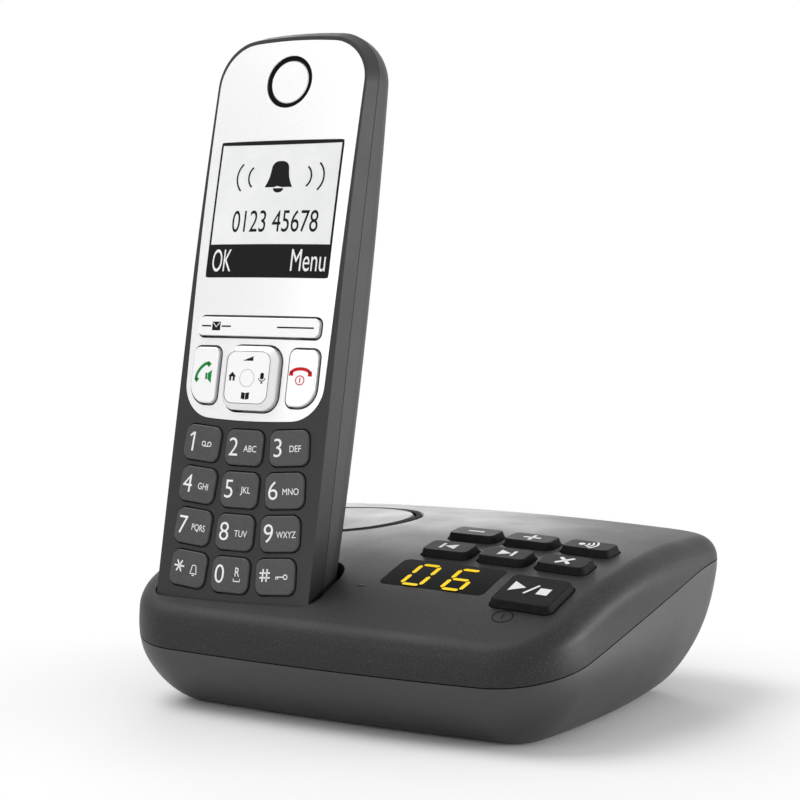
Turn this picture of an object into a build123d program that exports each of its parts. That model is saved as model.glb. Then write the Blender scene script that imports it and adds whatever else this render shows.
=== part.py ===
from build123d import *
import math
import os

# Cordless telephone with a charging cradle and a built-in answering machine.
# Millimetres, +Z up, the floor at z = 0, -Y towards the user. The base is centred on the
# origin and the handset leans back in the cradle on its left side.

# ---- base housing -----------------------------------------------------------------------
base_half_width = 64.3        # to the corners, before the sides bow out
base_half_depth = 53.2
side_bow = 2.8
end_bow = 2.2
base_corner = 20.0
foot_height = 0.6
front_rise = 16.7             # height of the widest line at the front and at the back
back_rise = 36.0
side_rise_step = 2.0          # the widest line starts this much higher round the front corners
front_tuck = 15.4             # how far the hull draws in from there to the floor
back_tuck = 18.0
tuck_power = 1.55
wall_lean = 0.006             # inward lean of the upper wall, per mm of height squared
base_wall = 2.2
base_edge = 6.0               # rounding between the walls and the top
form_height = 46.0            # the lofted walls end above the crown
level_steps = (0, 0.03, 0.09, 0.18, 0.28, 0.39, 0.52, 0.67, 0.83, 1.0)
smallest_corner = 2.5

# ---- crowned top of the base ------------------------------------------------------------
crown_top = 45.0
crown_x = -10.0               # the highest point of the top
crown_y = 22.9
crown_radius = 267.0          # front to back
crown_cross_radius = 1253.0   # side to side
front_fall = 1.66e-5          # extra droop towards the front, per mm cubed
crown_half_angle = 4.0

# ---- parting line between the two base covers ----------------------------------------------
parting_tilt = 13.27
parting_front = 16.7
parting_back = 36.6
parting_gap = 0.3

# ---- fits and walls ------------------------------------------------------------------------
seat_gap = 0.3                # between a piece and the seat that it rests on
slide_gap = 0.35              # round a moving key
trim_gap = 0.15               # round a fixed inlay
board_thickness = 1.0
mat_thickness = 0.7

# ---- base keys, in the crowned top ----------------------------------------------------------
key_column = 15.5
key_pitch = 16.5
key_row = -1.8
row_pitch = 13.45
play_row = -32.4
base_key_width = 14.3
base_key_depth = 8.2
base_key_corner = 2.2
base_key_height = 1.8
base_key_slant = 20.0
base_key_edge = 0.35
base_key_travel = 0.8
base_flange = 0.8
play_width = 17.2
play_depth = 14.4
stem_radius = 2.0
board_depth = 10.0            # board below the crown at the middle row of keys

# ---- display window of the base --------------------------------------------------------------
window_x = 21.3
window_y = -28.7
window_width = 29.7
window_depth = 14.0
window_corner = 1.6
window_thickness = 1.2
module_margin = 1.2

# ---- round sound disc ------------------------------------------------------------------------
disc_x = -33.0
disc_y = 11.0
disc_hole = 20.45
disc_slot = 1.8
disc_bevel = 0.9
rim_bevel = 1.0                # the hole's rim opens outwards above this depth
rim_taper = 45.0
disc_thickness = 1.6
well_depth = 3.2
well_floor = 1.4
well_wall = 1.6
sound_holes = 8
sound_hole_radius = 2.4
sound_hole_circle = 14.5
disc_boss_radius = 4.0
speaker_radius = 17.5
speaker_depth = 7.5

# ---- handset ---------------------------------------------------------------------------------
cradle_x = -31.0
face_inset = 12.1              # the handset's face stands this far behind the base's front edge
face_y = face_inset - base_half_depth
face_z = 63.4
lean = 11.24
handset_bottom = -45.0        # positions along the handset, from its reference point
handset_top = 115.5
bottom_half_width = 23.9
middle_half_width = 23.9
top_half_width = 24.4          # the widest line runs round the handset at the swell depth
end_arch = 1.4
top_arch = 2.0
top_corner = 13.5
swell_w = -6.8
top_swell = 4.3                # the face end is this much lower than the widest line
side_swell = 1.7               # and this much narrower at the top
corner_swell = 2.6
bottom_corner = 10.0
handset_thickness = 19.9
thickest_v = 32.0              # the back bows out most here
back_radius = 1000.0
fall_start = 40.0              # the face starts to droop here
face_radius = 300.0
face_fall_rate = 4.1e-4
face_half_angle = 5.2
shell_seam = -7.0
seam_gap = 0.2
shell_wall = 1.6
face_wall = 2.1
front_edge = 2.4
back_edge = 8.1
mat_top = -4.6
board_top = mat_top - mat_thickness

# ---- faceplate, display and earpiece -------------------------------------------------------------
plate_bottom = 11.3
plate_top = 112.3
plate_bottom_half = 21.6
plate_middle_half = 22.6
plate_top_half = 22.9
plate_thickness = 1.0
plate_bottom_corner = 9.5
plate_top_corner = 11.5
plate_bottom_arch = 1.2
plate_top_arch = 1.6
screen_half_width = 19.4
screen_bottom = 48.9
screen_top = 85.1
screen_corner = 1.0
lens_thickness = 1.0
lcd_margin = 1.4
lcd_gap = 0.5
ear_v = 101.1
ear_hole = 7.1
ear_slot = 0.85
ear_bevel = 0.7
ear_speaker_radius = 7.4
ear_speaker_depth = 3.0

# ---- handset keys ----------------------------------------------------------------------------
pad_pitch = 13.7
pad_row_pitch = 10.91
pad_first_row = 5.0
pad_smile = 0.6
pad_turn = 4.5
pad_width = 11.7
pad_depth = 9.2
pad_corner = 2.3
pad_height = 0.6
pad_edge = 0.4
pad_flange = 0.55
pad_flange_depth = 2.4
pad_flange_thickness = 0.8
call_inner = 11.2
call_outer = 19.6
call_bottom = 15.5
call_top = 30.2
call_height = 0.9
call_corner = 1.8
call_sweep = 5.0
soft_half_width = 19.0
soft_bottom = 33.3
soft_top = 38.2
soft_height = 0.5
soft_corner = 1.4
nav_v = 22.3
nav_width = 16.6
nav_corner = 4.0
nav_skirt = 1.2
nav_height = 2.6
nav_face_width = 13.5
soft_flange_half = 12.0
soft_flange_depth = 2.75       # rockers need more room under the shell than plain keys
nav_flange_radius = 9.4
nav_flange_depth = 2.9
rocker_flange_thickness = 0.6
plunger_radius = 1.8
plunger_gap = 0.2
plunger_height = 0.75

# ---- cradle pocket ------------------------------------------------------------------------------
pocket_side_gap = 1.9
pocket_front_gap = 1.0
pocket_corner = 4.5
pocket_wall = 1.5
cup_gap = 0.3
contact_u = 9.0
contact_w = -9.6
contact_width = 4.4
contact_length = 2.4
contact_proud = 0.3            # pressed down by the seated handset
contact_stem = 5.0
pad_recess = 0.5
pad_lift = 1.1                 # the flange lies above the rounded inner edge
pad_plate = 0.8
pad_margin = 0.6

# ---- battery --------------------------------------------------------------------------------------
cell_radius = 5.25
cell_length = 44.5
cell_spacing = 12.0
cell_w = -12.7                 # depth of the cells' axes
cell_bottom = 3.6
cell_nub = 0.8
cell_nub_radius = 1.9
spring_length = 4.2
contact_plate = 0.5
bay_wall = 0.9
bay_side_gap = 0.6
cell_gap = 0.15
cover_half_width = 15.5
cover_bottom = -6.0
cover_top = 61.0
cover_corner = 4.0
cover_thickness = 1.3
cover_gap = 0.2
cover_ledge = 1.6

# ---- sockets, screws and feet ------------------------------------------------------------------------
socket_x = (18.0, 33.0)
socket_width = 9.8
socket_height = 6.8
socket_depth = 12.0
socket_wall = 1.2
socket_floor_z = 7.0
bay_inset = 10.2               # the socket bay opens this far inside the back edge
bay_margin = 3.0
screw_places = ((-45.0, 32.0), (45.0, 32.0), (2.2, -34.0), (-48.0, -14.0))
screw_column_radius = 3.2
screw_bore = 1.2
screw_head_radius = 2.6
screw_head_height = 1.8
screw_seat = 2.4
screw_split = 22.0
screw_length = 9.0
foot_places = ((-38.0, -28.0), (38.0, -28.0), (-32.0, 22.0), (36.0, 22.0))
foot_radius = 5.0
foot_recess = 1.0
lower_column_radius = 3.8
bay_corner = 2.0

# ---- boards, mats and sound parts ----------------------------------------------------------------------
board_width = 50.0
board_length = 58.0
mat_width = 46.0
mat_length = 42.0
mat_shift = -1.5
antenna_length = 14.0
antenna_thickness = 1.0
antenna_height = 4.0
antenna_spread = 11.0
antenna_shift = 24.0
stem_clearance = 0.5
contact_round = 0.4
contact_flange = 0.8
speaker_rim = 2.0
speaker_basket = 3.0
speaker_taper = 40.0
speaker_magnet_radius = 9.0
board_end = 90.0
pad_mat_half = 21.0
lcd_ledge = -3.9
lcd_face = -2.5
microphone_radius = 2.4
microphone_v = -38.6
ringer_radius = 10.0
ringer_depth = 4.0
ringer_back = -15.9
ringer_v = 85.0
ringer_slots = 3
slot_pitch = 4.0
slot_length = 12.0
slot_width = 1.4
ear_port = 0.9
ear_ports = 6
ear_sink = 0.25

os.makedirs("parts", exist_ok=True)


def save(piece, name):
    piece.part.label = name
    export_step(piece.part, f"parts/{name}.step")


# ---- shapes shared by the base pieces -------------------------------------------------------------------
def crown_height(x, y):
    run = y - crown_y
    return (crown_top - run**2 / (2 * crown_radius) - front_fall * max(-run, 0)**3
            - (x - crown_x)**2 / (2 * crown_cross_radius))


def crown_plane(x, y):
    """Plane that touches the crowned top at x, y, with its local y pointing back."""
    run = y - crown_y
    slope_y = -run / crown_radius + 3 * front_fall * max(-run, 0)**2
    slope_x = -(x - crown_x) / crown_cross_radius
    return Plane(origin=(x, y, crown_height(x, y)), x_dir=(1, 0, slope_x),
                 z_dir=(-slope_x, -slope_y, 1))


def barrel_block(top, along, up, radius, half_angle, curves, floor):
    """Block under a doubly curved top: Bezier curves along one way, turned about a far axis."""
    axis_point = top - up * radius
    tilt = math.radians(half_angle)
    side = along.cross(up)
    plane = Plane(origin=axis_point, x_dir=along,
                  z_dir=side * math.cos(tilt) + up * math.sin(tilt))
    first, last = curves[0][0], curves[-1][-1]
    with BuildPart() as block:
        with BuildSketch(plane):
            with BuildLine():
                for points in curves:
                    Bezier(*[(place, radius + height) for place, height in points])
                Polyline((last[0], radius + last[1]), (last[0], radius - floor),
                         (first[0], radius - floor), (first[0], radius + first[1]))
            make_face()
        revolve(axis=Axis(axis_point, along), revolution_arc=2 * half_angle)
    return block.part


def crown_block(depth):
    """Everything below the crowned top, lowered by depth."""
    reach = base_half_depth + 3 * end_bow
    front_run, back_run = crown_y + reach, reach - crown_y
    low = -front_run**2 / (2 * crown_radius) - front_fall * front_run**3
    rise = (front_run / crown_radius + 3 * front_fall * front_run**2) * front_run / 3
    front_curve = [(-reach, low - depth), (-reach + front_run / 3, low + rise - depth),
                   (crown_y - front_run / 3, -depth), (crown_y, -depth)]
    back_curve = [(crown_y, -depth), (crown_y + back_run / 2, -depth),
                  (reach, -back_run**2 / (2 * crown_radius) - depth)]
    return barrel_block(Vector(crown_x, 0, crown_top), Vector(0, 1, 0), Vector(0, 0, 1),
                        crown_cross_radius, crown_half_angle, [front_curve, back_curve],
                        2 * crown_top)


def wall_inset(z, rise, tuck):
    """How far the wall stands inside the widest line at height z."""
    if z >= rise:
        return wall_lean * (z - rise)**2
    angle = math.asin(((rise - z) / rise)**(tuck_power / 2))
    return tuck * (1 - math.cos(angle)**(2 / tuck_power))


def base_form(inset):
    """The whole base as one solid, drawn in by inset all round."""
    bottom = foot_height + inset
    with BuildPart() as form:
        for step in level_steps:
            z = bottom + (form_height - bottom) * step
            front = wall_inset(z, front_rise, front_tuck) + inset
            side = wall_inset(z, front_rise + side_rise_step, front_tuck) + inset
            back = wall_inset(z, back_rise, back_tuck) + inset
            near_x, far_x = base_half_width - side, base_half_width - back
            near_y, far_y = -base_half_depth + front, base_half_depth - back
            middle_x = (near_x + far_x) / 2 + side_bow
            middle_y = (near_y + far_y) / 2
            with BuildSketch(Plane.XY.offset(z)):
                with BuildLine():
                    ThreePointArc((-near_x, near_y), (0, near_y - end_bow), (near_x, near_y))
                    ThreePointArc((near_x, near_y), (middle_x, middle_y), (far_x, far_y))
                    ThreePointArc((far_x, far_y), (0, far_y + end_bow), (-far_x, far_y))
                    ThreePointArc((-far_x, far_y), (-middle_x, middle_y), (-near_x, near_y))
                make_face()
                fillet(vertices().group_by(Axis.Y)[0], max(base_corner - side, smallest_corner))
                fillet(vertices().group_by(Axis.Y)[-1], max(base_corner - back, smallest_corner))
        loft()
        add(crown_block(inset), mode=Mode.INTERSECT)
        fillet(faces().sort_by(Axis.Z)[-1].edges(), base_edge - inset)
    return form.part


def below_parting(drop):
    """Everything under the parting surface: it rises to the back, then runs level."""
    slope = math.tan(math.radians(parting_tilt))
    reach_x, reach_y = 2 * base_half_width, 2 * base_half_depth
    level_y = -base_half_depth + (parting_back - parting_front) / slope
    bend = base_half_depth - level_y
    with BuildPart() as block:
        with BuildSketch(Plane.YZ):
            with BuildLine():
                start = (-reach_y, parting_front - drop - (reach_y - base_half_depth) * slope)
                knee = (level_y - bend / 2, parting_back - drop - bend / 2 * slope)
                Line(start, knee)
                TangentArc(knee, (level_y + bend / 2, parting_back - drop), tangent=(1, slope))
                Polyline((level_y + bend / 2, parting_back - drop), (reach_y, parting_back - drop),
                         (reach_y, -reach_y), (-reach_y, -reach_y), start)
            make_face()
        extrude(amount=reach_x, both=True)
    return block.part


# ---- shapes shared by the handset pieces -------------------------------------------------------------------
lean_angle = math.radians(lean)
across = Vector(1, 0, 0)
upward = Vector(0, math.sin(lean_angle), math.cos(lean_angle))
outward = Vector(0, -math.cos(lean_angle), math.sin(lean_angle))
face_origin = Vector(cradle_x, face_y, face_z)


def handset_plane(w=0.0):
    """Plane parallel to the face, with local x, y along and up the handset."""
    return Plane(origin=face_origin + outward * w, x_dir=across, z_dir=outward)


def handset_end_plane(v):
    """Plane across the handset, with local y running from the face to the back."""
    return Plane(origin=face_origin + upward * v, x_dir=across, z_dir=upward)


def face_drop(u, v):
    return u**2 / (2 * face_radius) + face_fall_rate * max(v - fall_start, 0)**2


def face_plane(u, v, turn=0.0):
    """Plane that touches the handset's face at u, v, turned about its own normal."""
    lean_u = u / face_radius
    lean_v = 2 * face_fall_rate * max(v - fall_start, 0)
    normal = outward + across * lean_u + upward * lean_v
    spin = math.radians(turn)
    sideways = across * math.cos(spin) + upward * math.sin(spin)
    origin = face_origin + across * u + upward * v - outward * face_drop(u, v)
    return Plane(origin=origin, x_dir=sideways - normal * (sideways.dot(normal) / normal.dot(normal)),
                 z_dir=normal)


def face_block(depth):
    """Everything behind the handset's crowned face, lowered by depth."""
    low, high = handset_bottom - front_edge, handset_top + front_edge
    straight = [(low, -depth), (fall_start, -depth)]
    drooping = [(fall_start, -depth), ((fall_start + high) / 2, -depth),
                (high, -face_drop(0, high) - depth)]
    return barrel_block(face_origin, upward, outward, face_radius, face_half_angle,
                        [straight, drooping], 2 * handset_thickness)


def pebble_outline(low, high, low_arch, high_arch, low_half, middle_half, high_half,
                   low_corner, high_corner):
    """Flat outline with four bowed sides and rounded corners."""
    left_low, left_high = (-low_half, low + low_arch), (-high_half, high - high_arch)
    right_low, right_high = (low_half, low + low_arch), (high_half, high - high_arch)
    middle = (left_low[1] + left_high[1]) / 2
    with BuildSketch() as outline:
        with BuildLine():
            ThreePointArc(left_low, (0, low), right_low)
            ThreePointArc(right_low, (middle_half, middle), right_high)
            ThreePointArc(right_high, (0, high), left_high)
            ThreePointArc(left_high, (-middle_half, middle), left_low)
        make_face()
        fillet(vertices().sort_by(Axis.Y)[:2], low_corner)
        fillet(vertices().sort_by(Axis.Y)[-2:], high_corner)
    return outline.sketch


def swelling_outline(inset, swell):
    """Outline of the handset: at its widest line with swell 0, at its face with swell 1."""
    return pebble_outline(handset_bottom + inset, handset_top - swell * top_swell - inset,
                          end_arch, top_arch, bottom_half_width - inset, middle_half_width - inset,
                          top_half_width - swell * side_swell - inset, bottom_corner - inset,
                          top_corner - swell * corner_swell - inset)


def handset_form(inset):
    """The whole handset as one solid, drawn in by inset all round."""
    with BuildPart() as form:
        for swell, w in ((1, front_edge), (0, swell_w)):
            with BuildSketch(handset_plane(w)):
                add(swelling_outline(inset, swell))
        loft(ruled=True)
        with BuildSketch(handset_plane(swell_w)):
            add(swelling_outline(inset, 0))
        extrude(amount=-2 * handset_thickness)
        add(face_block(inset), mode=Mode.INTERSECT)
        with BuildSketch(Plane(origin=face_origin, x_dir=upward, z_dir=across)):
            with BuildLine():
                reach = handset_thickness
                low, high = handset_bottom - reach, handset_top + reach
                ThreePointArc((low, inset - back_depth(low)), (thickest_v, inset - handset_thickness),
                              (high, inset - back_depth(high)))
                Polyline((high, inset - back_depth(high)), (high, reach), (low, reach),
                         (low, inset - back_depth(low)))
            make_face()
        extrude(amount=2 * middle_half_width, both=True, mode=Mode.INTERSECT)
        fillet(faces().sort_by(Axis(face_origin, outward))[0].edges(), back_edge - inset)
    return form.part


def back_depth(v):
    """Depth of the bowed back behind the face at v."""
    return handset_thickness - (v - thickest_v)**2 / (2 * back_radius)


def slab(near, far):
    """Block between two depths w behind the handset's face, wider than the handset."""
    length = handset_top - handset_bottom
    centre = Plane(origin=face_origin + upward * (handset_bottom + length / 2) + outward * near,
                   x_dir=across, z_dir=outward)
    with BuildPart() as block:
        with BuildSketch(centre):
            Rectangle(3 * middle_half_width, 2 * length)
        extrude(amount=far - near)
    return block.part


def column(plane, width, length, corner, near, far, centre=(0, 0)):
    """Rounded rectangular column between two heights above a plane."""
    with BuildPart() as block:
        with BuildSketch(plane.offset(near)):
            with Locations(centre):
                RectangleRounded(width, length, corner)
        extrude(amount=far - near)
    return block.part


def post(plane, radius, near, far, centre=(0, 0)):
    """Round column between two heights above a plane."""
    with BuildPart() as block:
        with BuildSketch(plane.offset(near)):
            with Locations(centre):
                Circle(radius)
        extrude(amount=far - near)
    return block.part


# ---- places of the base pieces ------------------------------------------------------------------------
middle_key_x = key_column + key_pitch
board_plane = crown_plane(middle_key_x, key_row - row_pitch).offset(-board_depth)
board_corner = 6.0
boss_radius = 2.4
boss_places = ((11.2, 8.6), (52.4, 9.6), (10.6, -40.6), (32.0, -40.6))
key_places = {
    "minus": (key_column, key_row),
    "plus": (key_column + key_pitch, key_row),
    "paging": (key_column + 2 * key_pitch, key_row),
    "previous": (key_column, key_row - row_pitch),
    "next": (key_column + key_pitch, key_row - row_pitch),
    "delete": (key_column + 2 * key_pitch, key_row - row_pitch),
    "play_stop": (key_column + 2 * key_pitch, play_row),
}


def key_size(name):
    return (play_width, play_depth) if name == "play_stop" else (base_key_width, base_key_depth)


def board_height(x, y, above=0.0):
    """Height of the plane that lies above the base board, at x, y."""
    origin = board_plane.origin + board_plane.z_dir * above
    normal = board_plane.z_dir
    return origin.Z - ((x - origin.X) * normal.X + (y - origin.Y) * normal.Y) / normal.Z


window_plane = crown_plane(window_x, window_y)
disc_plane = crown_plane(disc_x, disc_y)

# ---- cradle pocket ------------------------------------------------------------------------------------------
pocket_half = middle_half_width + pocket_side_gap
pocket_floor = handset_bottom - seat_gap
pocket_rim_v = -19.4            # the rim of the pocket behind the handset
pocket_back = -back_depth(pocket_rim_v) - seat_gap


def pocket_block(wall, floor_v, top_v):
    """The pocket's space, or the cup round it, as a block along the handset."""
    half = pocket_half + wall
    front = pocket_front_gap + wall - half**2 / (2 * face_radius)
    with BuildPart() as block:
        with BuildSketch(handset_end_plane(floor_v)):
            with BuildLine():
                # local y of this plane runs backwards, away from the face
                ThreePointArc((-half, -front), (0, -pocket_front_gap - wall), (half, -front))
                Polyline((half, -front), (half, wall - pocket_back),
                         (-half, wall - pocket_back), (-half, -front))
            make_face()
            fillet(vertices().sort_by(Axis.Y)[:2], pocket_corner + wall)
            fillet(vertices().sort_by(Axis.Y)[-2:], back_edge + seat_gap + wall)
        extrude(amount=top_v - floor_v)
    return block.part


# ---- base: top cover ---------------------------------------------------------------------------------------
cup = pocket_block(pocket_wall, pocket_floor - pocket_wall, 0)

with BuildPart() as cover_posts:
    for x, y in boss_places:
        post_height = (crown_height(x, y) - board_height(x, y)) * board_plane.z_dir.Z - base_wall / 2
        with BuildSketch(board_plane.offset(seat_gap)):
            with Locations(board_plane.to_local_coords(Vector(x, y, board_height(x, y)))):
                Circle(boss_radius)
        extrude(amount=post_height - seat_gap)
    for x, y in screw_places:
        with BuildSketch(Plane.XY.offset(screw_split)):
            with Locations((x, y)):
                Circle(screw_column_radius)
        extrude(amount=crown_height(x, y) - base_wall / 2 - screw_split)

with BuildPart() as kept_inside:
    add(cup)
    with BuildSketch(disc_plane.offset(-well_depth - well_floor)):
        Circle(disc_hole + well_wall)
    extrude(amount=2 * well_depth)
    add(cover_posts.part)

with BuildPart() as cover_cuts:
    add(pocket_block(0, pocket_floor, 0))
    with BuildSketch(disc_plane.offset(-disc_thickness - seat_gap)):
        Circle(disc_hole)
    extrude(amount=well_depth)
    with BuildSketch(disc_plane.offset(-well_depth)):
        Circle(disc_hole)
        Circle(disc_boss_radius, mode=Mode.SUBTRACT)
    extrude(amount=well_depth)
    with BuildSketch(disc_plane.offset(-rim_bevel)):
        Circle(disc_hole)
    extrude(amount=2 * rim_bevel, taper=-rim_taper)
    with BuildSketch(disc_plane.offset(-2 * well_depth)):
        with PolarLocations(sound_hole_circle, sound_holes):
            Circle(sound_hole_radius)
    extrude(amount=2 * well_depth)
    for name, (x, y) in key_places.items():
        width, depth = key_size(name)
        with BuildSketch(crown_plane(x, y).offset(-2 * base_wall)):
            RectangleRounded(width + 2 * slide_gap, depth + 2 * slide_gap, base_key_corner + slide_gap)
        extrude(amount=4 * base_wall)
    with BuildSketch(window_plane.offset(-2 * base_wall)):
        RectangleRounded(window_width + 2 * trim_gap, window_depth + 2 * trim_gap,
                         window_corner + trim_gap)
    extrude(amount=4 * base_wall)
    with BuildSketch(Plane.XY.offset(screw_split)):
        with Locations(*screw_places):
            Circle(screw_bore)
    extrude(amount=screw_length)
    with BuildSketch(handset_end_plane(pocket_floor - 2 * pocket_wall)):
        with Locations((-contact_u, -contact_w), (contact_u, -contact_w)):
            Rectangle(contact_width + 2 * slide_gap, contact_length + 2 * slide_gap)
    extrude(amount=3 * pocket_wall)

covers_block = base_form(0)
covers_cavity = base_form(base_wall)

with BuildPart() as base_top_cover:
    add(covers_block - below_parting(0))
    add(cup & base_form(base_wall + cup_gap))
    add(cover_posts.part)
    add(covers_cavity - below_parting(parting_gap) - kept_inside.part, mode=Mode.SUBTRACT)
    add(cover_cuts.part, mode=Mode.SUBTRACT)
save(base_top_cover, "base_top_cover")

# ---- base: bottom cover ---------------------------------------------------------------------------------------
bay_x = (min(socket_x) - socket_width / 2 - bay_margin, max(socket_x) + socket_width / 2 + bay_margin)
bay_z = (socket_floor_z - bay_margin / 2, socket_floor_z + socket_height + bay_margin / 2)
bay_middle = (sum(bay_x) / 2, sum(bay_z) / 2)
bay_size = (bay_x[1] - bay_x[0], bay_z[1] - bay_z[0])
bay_front_y = base_half_depth - bay_inset
back_plane = Plane(origin=(0, bay_front_y, 0), x_dir=(-1, 0, 0), z_dir=(0, 1, 0))

with BuildPart() as kept_below:
    with BuildSketch(Plane.XY):
        with Locations(*screw_places):
            Circle(lower_column_radius)
    extrude(amount=screw_split - seat_gap)
    with BuildSketch(back_plane.offset(-base_wall)):
        with Locations((-bay_middle[0], bay_middle[1])):
            RectangleRounded(bay_size[0] + 2 * base_wall, bay_size[1] + 2 * base_wall, base_wall)
    extrude(amount=base_half_depth - bay_front_y)

with BuildPart() as hull_cuts:
    with BuildSketch(back_plane):
        with Locations((-bay_middle[0], bay_middle[1])):
            RectangleRounded(*bay_size, bay_corner)
    extrude(amount=base_half_depth)
    with BuildSketch(back_plane.offset(-2 * base_wall)):
        with Locations(*[(-x, socket_floor_z + socket_height / 2) for x in socket_x]):
            Rectangle(socket_width, socket_height)
    extrude(amount=3 * base_wall)
    with BuildSketch(Plane.XY):
        with Locations(*foot_places):
            Circle(foot_radius + trim_gap)
    extrude(amount=foot_height + foot_recess)
    with BuildSketch(Plane.XY):
        with Locations(*screw_places):
            Circle(screw_head_radius + trim_gap)
    extrude(amount=screw_seat + screw_head_height)
    with BuildSketch(Plane.XY):
        with Locations(*screw_places):
            Circle(screw_bore + trim_gap)
    extrude(amount=screw_split)

with BuildPart() as base_bottom_cover:
    add(covers_block & below_parting(parting_gap))
    add((covers_cavity & below_parting(-parting_gap)) - kept_below.part, mode=Mode.SUBTRACT)
    add(hull_cuts.part, mode=Mode.SUBTRACT)
save(base_bottom_cover, "base_bottom_cover")

with BuildPart() as base_feet:
    with BuildSketch(Plane.XY):
        with Locations(*foot_places):
            Circle(foot_radius)
    extrude(amount=foot_height + foot_recess - trim_gap)
    fillet(faces().group_by(Axis.Z)[0].edges(), foot_height / 2)
save(base_feet, "base_feet")

with BuildPart() as base_screws:
    with BuildSketch(Plane.XY.offset(screw_seat)):
        with Locations(*screw_places):
            Circle(screw_head_radius)
    extrude(amount=screw_head_height)
    with BuildSketch(Plane.XY.offset(screw_seat)):
        with Locations(*screw_places):
            Circle(screw_bore - trim_gap / 2)
    extrude(amount=screw_split + screw_length - screw_seat - seat_gap)
save(base_screws, "base_screws")

# ---- base: window, disc and loudspeaker --------------------------------------------------------------------------
with BuildPart() as base_display_window:
    with BuildSketch(window_plane.offset(-base_wall)):
        RectangleRounded(window_width, window_depth, window_corner)
    extrude(amount=2 * base_wall)
    add(crown_block(0) - crown_block(window_thickness), mode=Mode.INTERSECT)
save(base_display_window, "base_display_window")

with BuildPart() as base_display_module:
    with BuildSketch(window_plane.offset(-window_thickness - seat_gap)):
        Rectangle(window_width - 2 * module_margin, window_depth - 2 * module_margin)
    extrude(amount=-2 * board_depth)
    split(bisect_by=board_plane, keep=Keep.TOP)
save(base_display_module, "base_display_module")

with BuildPart() as base_speaker_disc:
    with BuildSketch(disc_plane.offset(-2 * disc_thickness)):
        Circle(disc_hole - disc_slot)
    extrude(amount=4 * disc_thickness)
    add(crown_block(0) - crown_block(disc_thickness), mode=Mode.INTERSECT)
    chamfer(faces().sort_by(Axis(disc_plane.origin, disc_plane.z_dir))[-1].edges(), disc_bevel)
save(base_speaker_disc, "base_speaker_disc")

with BuildPart() as base_loudspeaker:
    with BuildSketch(disc_plane.offset(-well_depth - well_floor - seat_gap)):
        Circle(speaker_radius)
    extrude(amount=-speaker_rim)
    with BuildSketch(disc_plane.offset(-well_depth - well_floor - seat_gap - speaker_rim)):
        Circle(speaker_radius - speaker_rim)
    extrude(amount=-speaker_basket, taper=speaker_taper)
    with BuildSketch(disc_plane.offset(-well_depth - well_floor - seat_gap - speaker_depth)):
        Circle(speaker_magnet_radius)
    extrude(amount=speaker_depth - speaker_rim)
save(base_loudspeaker, "base_loudspeaker")

# ---- base: board, mat, antennas and sockets ------------------------------------------------------------------------
with BuildPart() as base_circuit_board:
    add(column(board_plane, board_width, board_length, board_corner, -board_thickness, 0))
save(base_circuit_board, "base_circuit_board")

module_drop = ((window_plane.origin - board_plane.origin).dot(board_plane.z_dir)
               / window_plane.z_dir.dot(board_plane.z_dir))
module_foot = board_plane.to_local_coords(window_plane.origin - window_plane.z_dir * module_drop)
with BuildPart() as base_key_mat:
    add(column(board_plane, mat_width, mat_length, board_corner, 0, mat_thickness, (0, mat_shift)))
    with BuildSketch(board_plane):
        with Locations(module_foot):
            Rectangle(window_width + 2 * module_margin, window_depth + 2 * module_margin)
    extrude(amount=mat_thickness, mode=Mode.SUBTRACT)
save(base_key_mat, "base_key_mat")

with BuildPart() as base_antennas:
    for side in (-1, 1):
        add(column(board_plane, antenna_length, antenna_thickness, antenna_thickness / 3, 0,
                   antenna_height, (side * antenna_spread, antenna_shift)))
save(base_antennas, "base_antennas")

for x, name in zip(socket_x, ("power_socket", "line_socket")):
    with BuildPart() as socket:
        with BuildSketch(back_plane.offset(-base_wall - seat_gap)):
            with Locations((-x, socket_floor_z + socket_height / 2)):
                Rectangle(socket_width + 2 * socket_wall, socket_height + 2 * socket_wall)
        extrude(amount=-socket_depth)
        with BuildSketch(back_plane.offset(-base_wall - seat_gap)):
            with Locations((-x, socket_floor_z + socket_height / 2)):
                Rectangle(socket_width, socket_height)
        extrude(amount=socket_wall - socket_depth, mode=Mode.SUBTRACT)
    save(socket, name)

# ---- base: keys --------------------------------------------------------------------------------------------------
for name, (x, y) in key_places.items():
    width, depth = key_size(name)
    face = crown_plane(x, y)
    room = (crown_height(x, y) - board_height(x, y)) * face.z_dir.Z - mat_thickness
    stem_end = room - base_key_travel - stem_clearance
    with BuildPart() as base_key:
        with BuildSketch(face):
            RectangleRounded(width, depth, base_key_corner)
        extrude(amount=base_key_height, taper=base_key_slant)
        fillet(faces().sort_by(Axis(face.origin, face.z_dir))[-1].edges(), base_key_edge)
        with BuildSketch(face):
            RectangleRounded(width, depth, base_key_corner)
        extrude(amount=-base_wall - seat_gap)
        with BuildSketch(face.offset(-base_wall - seat_gap)):
            RectangleRounded(width + 2 * base_flange, depth + 2 * base_flange,
                             base_key_corner + base_flange)
        extrude(amount=-base_flange)
        with BuildSketch(face.offset(-base_wall)):
            Circle(stem_radius)
        extrude(amount=base_wall - stem_end)
    save(base_key, f"base_key_{name}")

# ---- base: charging contacts ----------------------------------------------------------------------------------------
for side, name in ((-1, "left"), (1, "right")):
    with BuildPart() as contact:
        with BuildSketch(handset_end_plane(pocket_floor + contact_proud)):
            with Locations((side * contact_u, -contact_w)):
                Rectangle(contact_width, contact_length)
        extrude(amount=-contact_stem - contact_proud)
        fillet(faces().sort_by(Axis(face_origin, upward))[-1].edges(), contact_round)
        with BuildSketch(handset_end_plane(pocket_floor - pocket_wall - seat_gap)):
            with Locations((side * contact_u, -contact_w)):
                Rectangle(contact_width + 4 * slide_gap, contact_length + 4 * slide_gap)
        extrude(amount=-contact_flange)
    save(contact, f"base_contact_{name}")

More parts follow.
